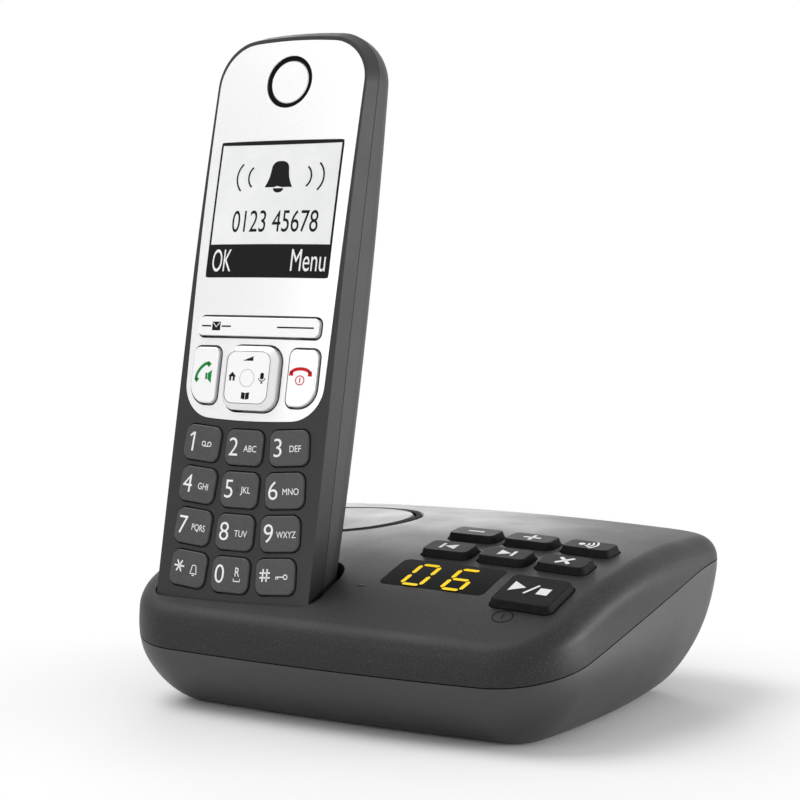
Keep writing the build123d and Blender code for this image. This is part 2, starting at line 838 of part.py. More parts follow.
# ---- handset: shells --------------------------------------------------------------------------------------------------
handset_block = handset_form(0)
front_room = handset_form(face_wall)
back_room = handset_form(shell_wall)
behind_seam = slab(shell_seam - seam_gap / 2, -2 * handset_thickness)
front_of_seam = slab(shell_seam + seam_gap / 2, 2 * front_edge)
behind_board = slab(board_top, -2 * handset_thickness)


def through_plate(margin):
    """Block through the faceplate's area, grown by margin."""
    with BuildPart() as block:
        with BuildSketch(handset_plane(front_edge)):
            add(pebble_outline(plate_bottom - margin, plate_top + margin, plate_bottom_arch, plate_top_arch,
                               plate_bottom_half + margin, plate_middle_half + margin,
                               plate_top_half + margin, plate_bottom_corner + margin,
                               plate_top_corner + margin))
        extrude(amount=-handset_thickness / 2)
    return block.part


def call_key_block(side, margin, near, far):
    """Block with a call key's outline: its lower outer corner is swept away."""
    width, length = call_outer - call_inner + 2 * margin, call_top - call_bottom + 2 * margin
    place = face_plane(side * (call_inner + call_outer) / 2, (call_bottom + call_top) / 2)
    with BuildPart() as block:
        with BuildSketch(place.offset(near)):
            Rectangle(width, length)
            outermost, innermost = (-1, 0) if side > 0 else (0, -1)
            fillet(vertices().group_by(Axis.X)[outermost].sort_by(Axis.Y)[0], call_sweep + margin)
            fillet(vertices().group_by(Axis.X)[innermost].sort_by(Axis.Y)[0], call_corner + margin)
            fillet(vertices().group_by(Axis.Y)[-1], call_corner + margin)
        extrude(amount=far - near)
    return block.part


pad_keys = ("1", "2", "3", "4", "5", "6", "7", "8", "9", "star", "0", "hash")


def pad_place(index):
    """Plane of one key of the number pad."""
    row, column_index = divmod(index, 3)
    side = column_index - 1
    v = pad_first_row - row * pad_row_pitch - (0 if side else pad_smile)
    return face_plane(side * pad_pitch, v, side * pad_turn)


with BuildPart() as face_cuts:
    for index in range(len(pad_keys)):
        add(column(pad_place(index), pad_width + 2 * slide_gap, pad_depth + 2 * slide_gap,
                   pad_corner + slide_gap, -2 * face_wall, face_wall))
    for side in (-1, 1):
        add(call_key_block(side, slide_gap, -2 * face_wall, face_wall))
    add(column(handset_plane(), 2 * (soft_half_width + slide_gap), soft_top - soft_bottom + 2 * slide_gap,
               soft_corner + slide_gap, -2 * face_wall, face_wall, (0, (soft_bottom + soft_top) / 2)))
    add(column(handset_plane(), nav_width + 2 * slide_gap, nav_width + 2 * slide_gap,
               nav_corner + slide_gap, -2 * face_wall, face_wall, (0, nav_v)))

lens_centre = (0, (screen_bottom + screen_top) / 2)
lens_size = (2 * screen_half_width, screen_top - screen_bottom)
ear_plane = face_plane(0, ear_v)

with BuildPart() as shell_cuts:
    add(face_cuts.part)
    add(column(handset_plane(), lens_size[0] - 2 * lcd_margin, lens_size[1] - 2 * lcd_margin,
               screen_corner, -3 * face_wall, face_wall, lens_centre))
    with BuildSketch(ear_plane.offset(-2 * face_wall)):
        with PolarLocations(ear_hole - ear_slot - ear_port, ear_ports):
            Circle(ear_port)
    extrude(amount=4 * face_wall)

with BuildPart() as handset_front_shell:
    add(handset_block & front_of_seam)
    add((front_room - behind_board) + (back_room & behind_board), mode=Mode.SUBTRACT)
    add(through_plate(trim_gap) - face_block(plate_thickness + trim_gap), mode=Mode.SUBTRACT)
    add(shell_cuts.part, mode=Mode.SUBTRACT)
save(handset_front_shell, "handset_front_shell")

with BuildPart() as handset_faceplate:
    add(through_plate(0))
    add(face_block(0) - face_block(plate_thickness), mode=Mode.INTERSECT)
    add(face_cuts.part, mode=Mode.SUBTRACT)
    add(column(handset_plane(), lens_size[0] + 2 * trim_gap, lens_size[1] + 2 * trim_gap,
               screen_corner + trim_gap, -3 * face_wall, face_wall, lens_centre), mode=Mode.SUBTRACT)
    with BuildSketch(ear_plane.offset(-2 * face_wall)):
        Circle(ear_hole)
    extrude(amount=4 * face_wall, mode=Mode.SUBTRACT)
save(handset_faceplate, "handset_faceplate")

with BuildPart() as handset_display_lens:
    add(column(handset_plane(), *lens_size, screen_corner, -3 * face_wall, face_wall, lens_centre))
    add(face_block(0) - face_block(lens_thickness), mode=Mode.INTERSECT)
save(handset_display_lens, "handset_display_lens")

with BuildPart() as earpiece_disc:
    with BuildSketch(ear_plane.offset(-plate_thickness)):
        Circle(ear_hole - ear_slot)
    extrude(amount=plate_thickness - ear_sink)
    chamfer(faces().sort_by(Axis(ear_plane.origin, ear_plane.z_dir))[-1].edges(), ear_bevel)
save(earpiece_disc, "earpiece_disc")

with BuildPart() as earpiece_speaker:
    add(post(ear_plane, ear_speaker_radius, -face_wall - seat_gap - ear_speaker_depth,
             -face_wall - seat_gap))
save(earpiece_speaker, "earpiece_speaker")

# ---- handset: boards and what sits on them ----------------------------------------------------------------------------
with BuildPart() as handset_circuit_board:
    add(handset_form(shell_wall + seat_gap) & slab(board_top, board_top - board_thickness))
    with BuildSketch(handset_plane()):
        with Locations((0, board_end + handset_top / 2)):
            Rectangle(4 * middle_half_width, handset_top)
    extrude(amount=-handset_thickness, mode=Mode.SUBTRACT)
save(handset_circuit_board, "handset_circuit_board")

pad_mat_bottom = pad_first_row - 3 * pad_row_pitch - pad_smile - pad_depth / 2 - pad_flange
with BuildPart() as handset_key_mat:
    add(column(handset_plane(), 2 * pad_mat_half, soft_top - pad_mat_bottom + pad_flange, pad_corner,
               board_top, mat_top, (0, (soft_top + pad_flange + pad_mat_bottom) / 2)))
save(handset_key_mat, "handset_key_mat")

with BuildPart() as lcd_module:
    add(column(handset_plane(), lens_size[0] - 2 * lcd_margin, lens_size[1] - 2 * lcd_margin, screen_corner,
               board_top, lcd_ledge, lens_centre))
    add(column(handset_plane(), lens_size[0] - 2 * lcd_margin - 2 * lcd_gap,
               lens_size[1] - 2 * lcd_margin - 2 * lcd_gap, screen_corner, lcd_ledge, lcd_face, lens_centre))
save(lcd_module, "lcd_module")

with BuildPart() as microphone:
    add(post(handset_plane(), microphone_radius, board_top, -face_wall - seat_gap, (0, microphone_v)))
save(microphone, "microphone")

with BuildPart() as handset_antenna:
    add(column(handset_plane(), 2 * antenna_length, 2 * antenna_thickness, antenna_thickness / 3,
               board_top - board_thickness - 2 * antenna_thickness, board_top - board_thickness,
               (0, board_end - 3 * antenna_thickness)))
save(handset_antenna, "handset_antenna")

with BuildPart() as ringer_speaker:
    add(post(handset_plane(), ringer_radius, ringer_back, ringer_back + ringer_depth, (0, ringer_v)))
save(ringer_speaker, "ringer_speaker")

# ---- handset: back shell and battery -------------------------------------------------------------------------------------
bay_low = cell_bottom - spring_length
bay_high = cell_bottom + cell_length + contact_plate + cell_gap
bay_centre = (0, (bay_low + bay_high) / 2)
bay_width = cell_spacing + 2 * cell_radius + 2 * bay_side_gap
bay_front = cell_w + cell_radius + cell_gap
cover_centre = (0, (cover_bottom + cover_top) / 2)
cover_size = (2 * cover_half_width, cover_top - cover_bottom)
deep = -2 * handset_thickness
half_depth = -handset_thickness / 2


def cover_block(margin):
    """Block behind the middle of the handset with the battery cover's outline."""
    return column(handset_plane(), cover_size[0] + 2 * margin, cover_size[1] + 2 * margin,
                  cover_corner + margin, deep, half_depth, cover_centre)


with BuildPart() as battery_walls:
    add(cover_block(cover_ledge) - handset_form(cover_thickness + cover_gap + cover_ledge / 2),
        mode=Mode.ADD)
    add(column(handset_plane(), bay_width + 2 * bay_wall, bay_high - bay_low + 2 * bay_wall, bay_wall,
               deep, bay_front + bay_wall, bay_centre))

with BuildPart() as handset_back_shell:
    add(handset_block & behind_seam)
    add((back_room & slab(shell_seam + seam_gap, deep)) - battery_walls.part, mode=Mode.SUBTRACT)
    add(cover_block(cover_gap) - handset_form(cover_thickness + cover_gap), mode=Mode.SUBTRACT)
    add(column(handset_plane(), bay_width, bay_high - bay_low, cell_gap, deep, bay_front, bay_centre),
        mode=Mode.SUBTRACT)
    with BuildSketch(handset_end_plane(handset_bottom - shell_wall)):
        with Locations((-contact_u, -contact_w), (contact_u, -contact_w)):
            Rectangle(contact_width + 2 * pad_margin, contact_length + 2 * pad_margin)
    extrude(amount=3 * shell_wall, mode=Mode.SUBTRACT)
    with BuildSketch(handset_plane(ringer_back)):
        with GridLocations(0, slot_pitch, 1, ringer_slots):
            with Locations((0, ringer_v)):
                SlotOverall(slot_length, slot_width)
    extrude(amount=-handset_thickness / 2, mode=Mode.SUBTRACT)
save(handset_back_shell, "handset_back_shell")

with BuildPart() as battery_cover:
    add(cover_block(0) & handset_block)
    add(handset_form(cover_thickness), mode=Mode.SUBTRACT)
save(battery_cover, "battery_cover")

cell_spots = ((-cell_spacing / 2, -cell_w), (cell_spacing / 2, -cell_w))
with BuildPart() as battery_cells:
    with BuildSketch(handset_end_plane(cell_bottom)):
        with Locations(*cell_spots):
            Circle(cell_radius)
    extrude(amount=cell_length - cell_nub)
    with BuildSketch(handset_end_plane(cell_bottom)):
        with Locations(*cell_spots):
            Circle(cell_nub_radius)
    extrude(amount=cell_length)
save(battery_cells, "battery_cells")

with BuildPart() as battery_contacts:
    for u, depth_w in cell_spots:
        with BuildSketch(handset_end_plane(bay_low)):
            with Locations((u, depth_w)):
                Circle(cell_nub_radius * 2)
        with BuildSketch(handset_end_plane(cell_bottom)):
            with Locations((u, depth_w)):
                Circle(cell_nub_radius)
        loft()
    with BuildSketch(handset_end_plane(bay_high)):
        with Locations(*cell_spots):
            Rectangle(cell_radius, cell_radius)
    extrude(amount=-contact_plate)
save(battery_contacts, "battery_contacts")

plate_v = handset_bottom + pad_recess
with BuildPart() as handset_charge_contacts:
    with BuildSketch(handset_end_plane(plate_v)):
        with Locations((-contact_u, -contact_w), (contact_u, -contact_w)):
            Rectangle(contact_width + 2 * (pad_margin - trim_gap), contact_length + 2 * (pad_margin - trim_gap))
    extrude(amount=shell_wall - pad_recess + pad_lift + trim_gap)
    with BuildSketch(handset_end_plane(handset_bottom + shell_wall + pad_lift)):
        with Locations((-contact_u, -contact_w), (contact_u, -contact_w)):
            Rectangle(contact_width + 4 * pad_margin, contact_length + 4 * pad_margin)
    extrude(amount=pad_plate)
save(handset_charge_contacts, "handset_charge_contacts")

# ---- handset: keys --------------------------------------------------------------------------------------------------------
for index, name in enumerate(pad_keys):
    place = pad_place(index)
    with BuildPart() as pad_key:
        add(column(place, pad_width, pad_depth, pad_corner, -pad_flange_depth, pad_height))
        fillet(faces().sort_by(Axis(place.origin, place.z_dir))[-1].edges(), pad_edge)
        add(column(place, pad_width + 2 * pad_flange, pad_depth + 2 * pad_flange, pad_corner + pad_flange,
                   -pad_flange_depth - pad_flange_thickness, -pad_flange_depth))
    save(pad_key, f"key_{name}")

for side, name in ((-1, "talk_key"), (1, "end_key")):
    with BuildPart() as call_key:
        add(call_key_block(side, 0, -pad_flange_depth, call_height))
        fillet(faces().sort_by(Axis(face_origin, outward))[-1].edges(), pad_edge)
        add(call_key_block(side, pad_flange, -pad_flange_depth - pad_flange_thickness, -pad_flange_depth))
    save(call_key, name)

soft_centre = (0, (soft_bottom + soft_top) / 2)
with BuildPart() as softkey_bar:
    add(column(handset_plane(), 2 * soft_half_width, soft_top - soft_bottom, soft_corner,
               -soft_flange_depth - rocker_flange_thickness, soft_height, soft_centre))
    fillet(faces().sort_by(Axis(face_origin, outward))[-1].edges(), pad_edge / 2)
    add(column(handset_plane(), 2 * soft_flange_half, soft_top - soft_bottom + 2 * pad_flange, soft_corner,
               -soft_flange_depth - rocker_flange_thickness, -soft_flange_depth, soft_centre))
save(softkey_bar, "softkey_bar")

nav_slope = math.degrees(math.atan((nav_width - nav_face_width) / 2 / (nav_height - nav_skirt)))
with BuildPart() as nav_key:
    add(column(handset_plane(), nav_width, nav_width, nav_corner, -nav_flange_depth, nav_skirt, (0, nav_v)))
    with BuildSketch(handset_plane(nav_skirt)):
        with Locations((0, nav_v)):
            RectangleRounded(nav_width, nav_width, nav_corner)
    extrude(amount=nav_height - nav_skirt, taper=nav_slope)
    fillet(faces().sort_by(Axis(face_origin, outward))[-1].edges(), pad_edge)
    add(post(handset_plane(), nav_flange_radius, -nav_flange_depth - rocker_flange_thickness,
             -nav_flange_depth, (0, nav_v)))
save(nav_key, "nav_key")

plunger_top = -nav_flange_depth - rocker_flange_thickness - plunger_gap
with BuildPart() as nav_key_plunger:
    add(post(handset_plane(), plunger_radius, plunger_top - plunger_height, plunger_top, (0, nav_v)))
save(nav_key_plunger, "nav_key_plunger")
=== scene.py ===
import math
import bpy
import numpy as np
from mathutils import Matrix, Vector


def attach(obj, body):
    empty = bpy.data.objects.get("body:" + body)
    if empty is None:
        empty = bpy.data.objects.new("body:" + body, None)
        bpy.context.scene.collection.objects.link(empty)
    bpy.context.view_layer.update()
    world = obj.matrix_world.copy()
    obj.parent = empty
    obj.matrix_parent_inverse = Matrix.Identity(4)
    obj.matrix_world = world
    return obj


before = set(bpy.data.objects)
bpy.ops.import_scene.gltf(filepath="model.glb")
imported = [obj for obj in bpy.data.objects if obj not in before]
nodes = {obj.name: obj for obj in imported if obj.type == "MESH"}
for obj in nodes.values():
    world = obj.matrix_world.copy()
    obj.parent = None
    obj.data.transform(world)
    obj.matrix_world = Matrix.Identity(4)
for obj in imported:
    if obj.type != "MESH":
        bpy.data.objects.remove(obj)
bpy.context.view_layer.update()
mm = 0.001
print("frame loaded:", len(nodes), "nodes")


def linearColour(code):
    # sRGB hex to the linear values that the shaders take
    channels = [int(code[i:i + 2], 16) / 255 for i in (1, 3, 5)]
    return tuple(c / 12.92 if c <= 0.04045 else ((c + 0.055) / 1.055) ** 2.4 for c in channels) + (1.0,)


def addNode(tree, kind, settings=None, inputs=None):
    # one node, its plain settings, and its inputs as values or (node, output) links
    node = tree.nodes.new(kind)
    for name, value in (settings or {}).items():
        setattr(node, name, value)
    for name, value in (inputs or {}).items():
        if isinstance(value, tuple) and len(value) == 2 and isinstance(value[0], bpy.types.Node):
            tree.links.new(value[0].outputs[value[1]], node.inputs[name])
        else:
            node.inputs[name].default_value = value
    return node


def setRamp(node, stops):
    # colour ramp between two (position, hex colour) stops
    for stop, (position, colour) in zip(node.color_ramp.elements, stops):
        stop.position = position
        stop.color = linearColour(colour)
    return node


def startMaterial(name):
    material = bpy.data.materials.new(name)
    material.use_nodes = True
    tree = material.node_tree
    tree.nodes.clear()
    output = addNode(tree, "ShaderNodeOutputMaterial")
    place = addNode(tree, "ShaderNodeTexCoord")
    return material, tree, output, place


def finishMaterial(material, tree, output, shader):
    tree.links.new(shader.outputs[0], output.inputs["Surface"])
    return material


# finishes, from what each surface is made of and how; pattern sizes are in mm
patternSizes = {
    "cloud": 18.0,      # slow change of gloss over a moulding
    "flake": 0.18,      # real flakes are about 0.03 mm, drawn larger so that they show
    "peel": 0.9,        # faint orange peel of a smooth moulding
    "wipe": 6.0,        # haze that a cloth leaves on a window
    "mottle": 0.5,      # uneven film of pad-printed ink
    "streak": 0.15,     # lines along the rolling direction
    "copperRun": 7.0,   # a cell of four rows of copper runs
    "bloom": 3.0,       # patches of bloom on silicone
    "thread": 0.6,      # real gauze has threads about 0.1 mm apart, drawn wider so that they show
}
absSkin = {"grit": 0.42, "depth": 0.012, "rough": (0.42, 0.52)}


def mouldedAbs(name, colour, light, grit=absSkin["grit"], level=0.3):
    # spark-eroded ABS: a fine grain in the mould leaves a soft satin with pin-point glints.
    # the real grain is about 0.1 mm and is drawn at grit mm so that it shows
    material, tree, output, place = startMaterial(name)
    grain = addNode(tree, "ShaderNodeTexNoise", inputs={
        "Vector": (place, "Object"), "Scale": 1 / (grit * mm), "Detail": 2.0, "Roughness": 0.6})
    cloud = addNode(tree, "ShaderNodeTexNoise", inputs={
        "Vector": (place, "Object"), "Scale": 1 / (patternSizes["cloud"] * mm), "Detail": 3.0})
    tint = setRamp(addNode(tree, "ShaderNodeValToRGB", inputs={"Fac": (grain, "Fac")}),
                   [(0.5, colour), (1.0, light)])
    sheen = addNode(tree, "ShaderNodeMapRange", inputs={
        "Value": (cloud, "Fac"), "From Min": 0.3, "From Max": 0.7,
        "To Min": absSkin["rough"][0], "To Max": absSkin["rough"][1]})
    bump = addNode(tree, "ShaderNodeBump", inputs={
        "Height": (grain, "Fac"), "Strength": 0.55, "Distance": absSkin["depth"] * mm})
    shader = addNode(tree, "ShaderNodeBsdfPrincipled", inputs={
        "Base Color": (tint, "Color"), "Roughness": (sheen, "Result"), "Normal": (bump, "Normal"),
        "IOR": 1.53, "Specular IOR Level": level})
    return finishMaterial(material, tree, output, shader)


def sprayedSilver(name, colour, flake, metallic):
    # silver lacquer with fine aluminium flake under a thin clear coat: pale, soft mirror
    material, tree, output, place = startMaterial(name)
    flakes = addNode(tree, "ShaderNodeTexVoronoi", inputs={
        "Vector": (place, "Object"), "Scale": 1 / (patternSizes["flake"] * mm)})
    tone = addNode(tree, "ShaderNodeSeparateColor", inputs={"Color": (flakes, "Color")})
    tint = setRamp(addNode(tree, "ShaderNodeValToRGB", inputs={"Fac": (tone, "Red")}),
                   [(0.0, flake), (0.55, colour)])
    rough = addNode(tree, "ShaderNodeMapRange", inputs={
        "Value": (tone, "Green"), "To Min": 0.28, "To Max": 0.32})
    shader = addNode(tree, "ShaderNodeBsdfPrincipled", inputs={
        "Base Color": (tint, "Color"), "Metallic": metallic, "Roughness": (rough, "Result"),
        "Coat Weight": 0.35, "Coat Roughness": 0.08})
    return finishMaterial(material, tree, output, shader)


def satinKeys(name, colour, light, rough=0.38, level=0.3):
    # moulded keys of smooth ABS: an even satin with a faint orange peel
    material, tree, output, place = startMaterial(name)
    peel = addNode(tree, "ShaderNodeTexNoise", inputs={
        "Vector": (place, "Object"), "Scale": 1 / (patternSizes["peel"] * mm), "Detail": 1.0})
    tint = setRamp(addNode(tree, "ShaderNodeValToRGB", inputs={"Fac": (peel, "Fac")}),
                   [(0.35, colour), (0.75, light)])
    sheen = addNode(tree, "ShaderNodeMapRange", inputs={
        "Value": (peel, "Fac"), "To Min": rough - 0.05, "To Max": rough + 0.06})
    bump = addNode(tree, "ShaderNodeBump", inputs={
        "Height": (peel, "Fac"), "Strength": 0.25, "Distance": 0.006 * mm})
    shader = addNode(tree, "ShaderNodeBsdfPrincipled", inputs={
        "Base Color": (tint, "Color"), "Roughness": (sheen, "Result"), "Normal": (bump, "Normal"),
        "IOR": 1.53, "Specular IOR Level": level})
    return finishMaterial(material, tree, output, shader)


def polishedAcrylic(name, colour, haze, rough=0.06, level=0.5):
    # polished acrylic window: clean reflections, with a hair-fine haze from wiping
    material, tree, output, place = startMaterial(name)
    wipe = addNode(tree, "ShaderNodeTexNoise", inputs={
        "Vector": (place, "Object"), "Scale": 1 / (patternSizes["wipe"] * mm), "Detail": 4.0})
    tint = setRamp(addNode(tree, "ShaderNodeValToRGB", inputs={"Fac": (wipe, "Fac")}),
                   [(0.4, colour), (0.9, haze)])
    sheen = addNode(tree, "ShaderNodeMapRange", inputs={
        "Value": (wipe, "Fac"), "To Min": rough, "To Max": rough + 0.05})
    shader = addNode(tree, "ShaderNodeBsdfPrincipled", inputs={
        "Base Color": (tint, "Color"), "Roughness": (sheen, "Result"), "IOR": 1.49,
        "Specular IOR Level": level})
    return finishMaterial(material, tree, output, shader)


def printedInk(name, colour, glow=0.0):
    # pad-printed or lit marks: flat colour with the slight mottle of thin ink
    material, tree, output, place = startMaterial(name)
    mottle = addNode(tree, "ShaderNodeTexNoise", inputs={
        "Vector": (place, "Object"), "Scale": 1 / (patternSizes["mottle"] * mm), "Detail": 1.0})
    factor = addNode(tree, "ShaderNodeMapRange", inputs={
        "Value": (mottle, "Fac"), "To Min": 0.92, "To Max": 1.0})
    tint = addNode(tree, "ShaderNodeVectorMath", {"operation": "SCALE"}, {
        0: linearColour(colour)[:3], "Scale": (factor, "Result")})
    shader = addNode(tree, "ShaderNodeBsdfPrincipled", inputs={
        "Base Color": (tint, "Vector"), "Roughness": 0.5, "IOR": 1.5, "Specular IOR Level": 0.1})
    if glow:
        shader.inputs["Emission Color"].default_value = linearColour(colour)
        shader.inputs["Emission Strength"].default_value = glow
    return finishMaterial(material, tree, output, shader)


def rolledMetal(name, colour, rough=0.28):
    # pressed sheet or drawn wire: streaks along the rolling direction catch the light
    material, tree, output, place = startMaterial(name)
    stretch = addNode(tree, "ShaderNodeMapping", inputs={
        "Vector": (place, "Object"), "Scale": (1.0, 0.12, 1.0)})
    lines = addNode(tree, "ShaderNodeTexNoise", inputs={
        "Vector": (stretch, "Vector"), "Scale": 1 / (patternSizes["streak"] * mm), "Detail": 2.0})
    sheen = addNode(tree, "ShaderNodeMapRange", inputs={
        "Value": (lines, "Fac"), "To Min": rough - 0.08, "To Max": rough + 0.1})
    tint = setRamp(addNode(tree, "ShaderNodeValToRGB", inputs={"Fac": (lines, "Fac")}),
                   [(0.2, colour), (1.0, "#f2f2ee")])
    shader = addNode(tree, "ShaderNodeBsdfPrincipled", inputs={
        "Base Color": (tint, "Color"), "Metallic": 1.0, "Roughness": (sheen, "Result")})
    return finishMaterial(material, tree, output, shader)


def solderMask(name):
    # green-masked laminate: copper runs 0.4 mm wide show as paler lines under the mask
    material, tree, output, place = startMaterial(name)
    runs = addNode(tree, "ShaderNodeTexBrick", inputs={
        "Vector": (place, "Object"), "Color1": linearColour("#1f5c34"),
        "Color2": linearColour("#256b3d"), "Mortar": linearColour("#4f9a5a"),
        "Scale": 1 / (patternSizes["copperRun"] * mm), "Mortar Size": 0.03})
    shader = addNode(tree, "ShaderNodeBsdfPrincipled", inputs={
        "Base Color": (runs, "Color"), "Roughness": 0.35, "IOR": 1.55})
    return finishMaterial(material, tree, output, shader)


def mouldedRubber(name, colour):
    # compression-moulded silicone: matte, with bloom in soft patches
    material, tree, output, place = startMaterial(name)
    bloom = addNode(tree, "ShaderNodeTexNoise", inputs={
        "Vector": (place, "Object"), "Scale": 1 / (patternSizes["bloom"] * mm), "Detail": 4.0})
    tint = setRamp(addNode(tree, "ShaderNodeValToRGB", inputs={"Fac": (bloom, "Fac")}),
                   [(0.35, colour), (0.8, "#4a4a4a")])
    shader = addNode(tree, "ShaderNodeBsdfPrincipled", inputs={
        "Base Color": (tint, "Color"), "Roughness": 0.82, "IOR": 1.41})
    return finishMaterial(material, tree, output, shader)


def wovenGauzeShade(name):
    # black polyester gauze, kept near-black so that it also serves as painted shade in the slots: crossed
    # threads with dark pin holes between them, and no gloss.
    # a wave texture runs through 20 radians for each unit of its scale
    material, tree, output, place = startMaterial(name)
    waveScale = 2 * math.pi / (20 * patternSizes["thread"] * mm)
    threads = [addNode(tree, "ShaderNodeTexWave", {"bands_direction": way}, {
        "Vector": (place, "Object"), "Scale": waveScale}) for way in ("X", "Z")]
    crossed = addNode(tree, "ShaderNodeMath", {"operation": "MAXIMUM"}, {
        0: (threads[0], "Fac"), 1: (threads[1], "Fac")})
    tint = setRamp(addNode(tree, "ShaderNodeValToRGB", inputs={"Fac": (crossed, "Value")}),
                   [(0.4, "#050505"), (1.0, "#121212")])
    shader = addNode(tree, "ShaderNodeBsdfPrincipled", inputs={
        "Base Color": (tint, "Color"), "Roughness": 0.9, "IOR": 1.5, "Specular IOR Level": 0.1})
    return finishMaterial(material, tree, output, shader)


finishes = {
    "base": mouldedAbs("sparkErodedAbsBase", "#262526", "#464546", level=0.22),
    "hull": mouldedAbs("sparkErodedAbsHull", "#191819", "#2f2e2f", level=0.75),
    "handset": mouldedAbs("sparkErodedAbsHandset", "#222222", "#2f2f2f", grit=0.3),
    "back": mouldedAbs("sparkErodedAbsBack", "#2f2f30", "#424243", grit=0.3),
    "baseKeys": satinKeys("satinAbsBaseKeys", "#1c1c1d", "#242425", rough=0.46, level=0.03),
    "padKeys": satinKeys("satinAbsPadKeys", "#414141", "#484848"),
    "silver": sprayedSilver("sprayedSilverPlate", "#ededee", "#e6e7e8", metallic=0.5),
    "silverKeys": sprayedSilver("sprayedSilverKeys", "#f4f4f5", "#f0f0f1", metallic=0.3),
    "window": polishedAcrylic("smokedAcrylicWindow", "#0c0c0d", "#111112", level=0.03),
    "screen": polishedAcrylic("clearAcrylicScreen", "#eceeed", "#f6f6f6", rough=0.1),
    "glass": polishedAcrylic("displayGlass", "#4c524f", "#5a605d", rough=0.12),
    "whiteInk": printedInk("whitePadInk", "#f4f4f4"),
    "blackInk": printedInk("blackPadInk", "#131313"),
    "greyInk": printedInk("greyPadInk", "#b9babc"),
    "lineInk": printedInk("darkGreyLine", "#5a5a5c"),
    "greenInk": printedInk("greenPadInk", "#1c8a3c"),
    "redInk": printedInk("redPadInk", "#cf2027"),
    "litYellow": printedInk("litAmberSegment", "#f7cf12", glow=0.35),
    "nickel": rolledMetal("nickelPlatedSpring", "#c8c6bd"),
    "steel": rolledMetal("pressedSteel", "#8d8e90", rough=0.36),
    "brass": rolledMetal("brassStrip", "#b99a56"),
    "board": solderMask("greenSolderMask"),
    "rubber": mouldedRubber("mouldedSilicone", "#252525"),
    # painted shade: this gauze fills the sound slots to keep them black
    "gauzeShade": wovenGauzeShade("wovenGauzePaintedShade"),
    "socket": satinKeys("mouldedNylonSocket", "#161616", "#202020", rough=0.45),
    "sleeve": satinKeys("shrinkSleeveCells", "#2f5088", "#3b5f9a", rough=0.3),
}

nodeFinishes = {
    "base": "base_top_cover base_speaker_disc",
    "hull": "base_bottom_cover",
    "handset": "handset_front_shell",
    "back": "handset_back_shell battery_cover",
    "baseKeys": " ".join(n for n in nodes if n.startswith("base_key_") and n != "base_key_mat"),
    "padKeys": " ".join(n for n in nodes if n.startswith("key_")),
    "silver": "handset_faceplate earpiece_disc",
    "silverKeys": "talk_key end_key softkey_bar nav_key nav_key_plunger",
    "window": "base_display_window",
    "screen": "handset_display_lens",
    "glass": "base_display_module lcd_module",
    "nickel": "base_contact_left base_contact_right battery_contacts handset_charge_contacts",
    "steel": "base_loudspeaker earpiece_speaker ringer_speaker microphone base_screws",
    "brass": "base_antennas handset_antenna",
    "board": "base_circuit_board handset_circuit_board",
    "rubber": "base_key_mat handset_key_mat base_feet",
    "socket": "power_socket line_socket",
    "sleeve": "battery_cells",
}
for finish, names in nodeFinishes.items():
    for nodeName in names.split():
        node = nodes[nodeName]
        node.data.materials.clear()
        node.data.materials.append(finishes[finish])
print("finishes set")

# the surfaces that marks lie on, in mm
crown = {"top": 45.0, "x": -10.0, "y": 22.9, "radius": 267.0, "cross": 1253.0, "fall": 1.66e-5}
handset = {"face": (-31.0, -41.1, 63.4), "lean": 11.24, "radius": 300.0, "fallStart": 40.0,
           "fallRate": 4.1e-4}
leanAngle = math.radians(handset["lean"])
across = np.array([1.0, 0.0, 0.0])
upward = np.array([0.0, math.sin(leanAngle), math.cos(leanAngle)])
outward = np.array([0.0, -math.cos(leanAngle), math.sin(leanAngle)])
facePoint = np.array(handset["face"])


def crownHeight(x, y):
    # parabola front to back with a cubic droop at the front, and a shallow parabola across
    run = y - crown["y"]
    return (crown["top"] - run ** 2 / (2 * crown["radius"]) - crown["fall"] * np.maximum(-run, 0) ** 3
            - (x - crown["x"]) ** 2 / (2 * crown["cross"]))


def crownFrame(x, y):
    # origin and axes of the plane that touches the crown at x, y
    run = y - crown["y"]
    slopeY = -run / crown["radius"] + 3 * crown["fall"] * max(-run, 0) ** 2
    slopeX = -(x - crown["x"]) / crown["cross"]
    normal = np.array([-slopeX, -slopeY, 1.0])
    normal /= np.linalg.norm(normal)
    right = np.array([1.0, 0.0, slopeX])
    right /= np.linalg.norm(right)
    return np.array([x, y, crownHeight(x, y)]), right, np.cross(normal, right), normal


def faceDrop(u, v):
    # how far the face falls back: a parabola across, and a second one above fallStart
    return (u ** 2 / (2 * handset["radius"])
            + handset["fallRate"] * np.maximum(v - handset["fallStart"], 0) ** 2)


def faceFrame(u, v, turn=0.0):
    # origin and axes of the plane that touches the handset's face at u, v
    normal = (outward + across * u / handset["radius"]
              + upward * 2 * handset["fallRate"] * max(v - handset["fallStart"], 0))
    normal /= np.linalg.norm(normal)
    spin = math.radians(turn)
    right = across * math.cos(spin) + upward * math.sin(spin)
    right -= normal * right.dot(normal)
    right /= np.linalg.norm(right)
    origin = facePoint + across * u + upward * v - outward * faceDrop(u, v)
    return origin, right, np.cross(normal, right), normal


def onPlane(plane, height):
    # map from flat mm coordinates to a plane lifted by height
    origin, right, up, normal = plane
    return lambda flat: origin + flat[:, :1] * right + flat[:, 1:] * up + normal * height


def onFace(height):
    # map that follows the handset's curved face
    return lambda flat: (facePoint + flat[:, :1] * across + flat[:, 1:] * upward
                         + (height - faceDrop(flat[:, :1], flat[:, 1:])) * outward)


def onCrown(height):
    # map that follows the base's crowned top
    return lambda flat: np.column_stack([flat, crownHeight(flat[:, 0], flat[:, 1]) + height])


# flat shapes, in mm: each is its points and its faces

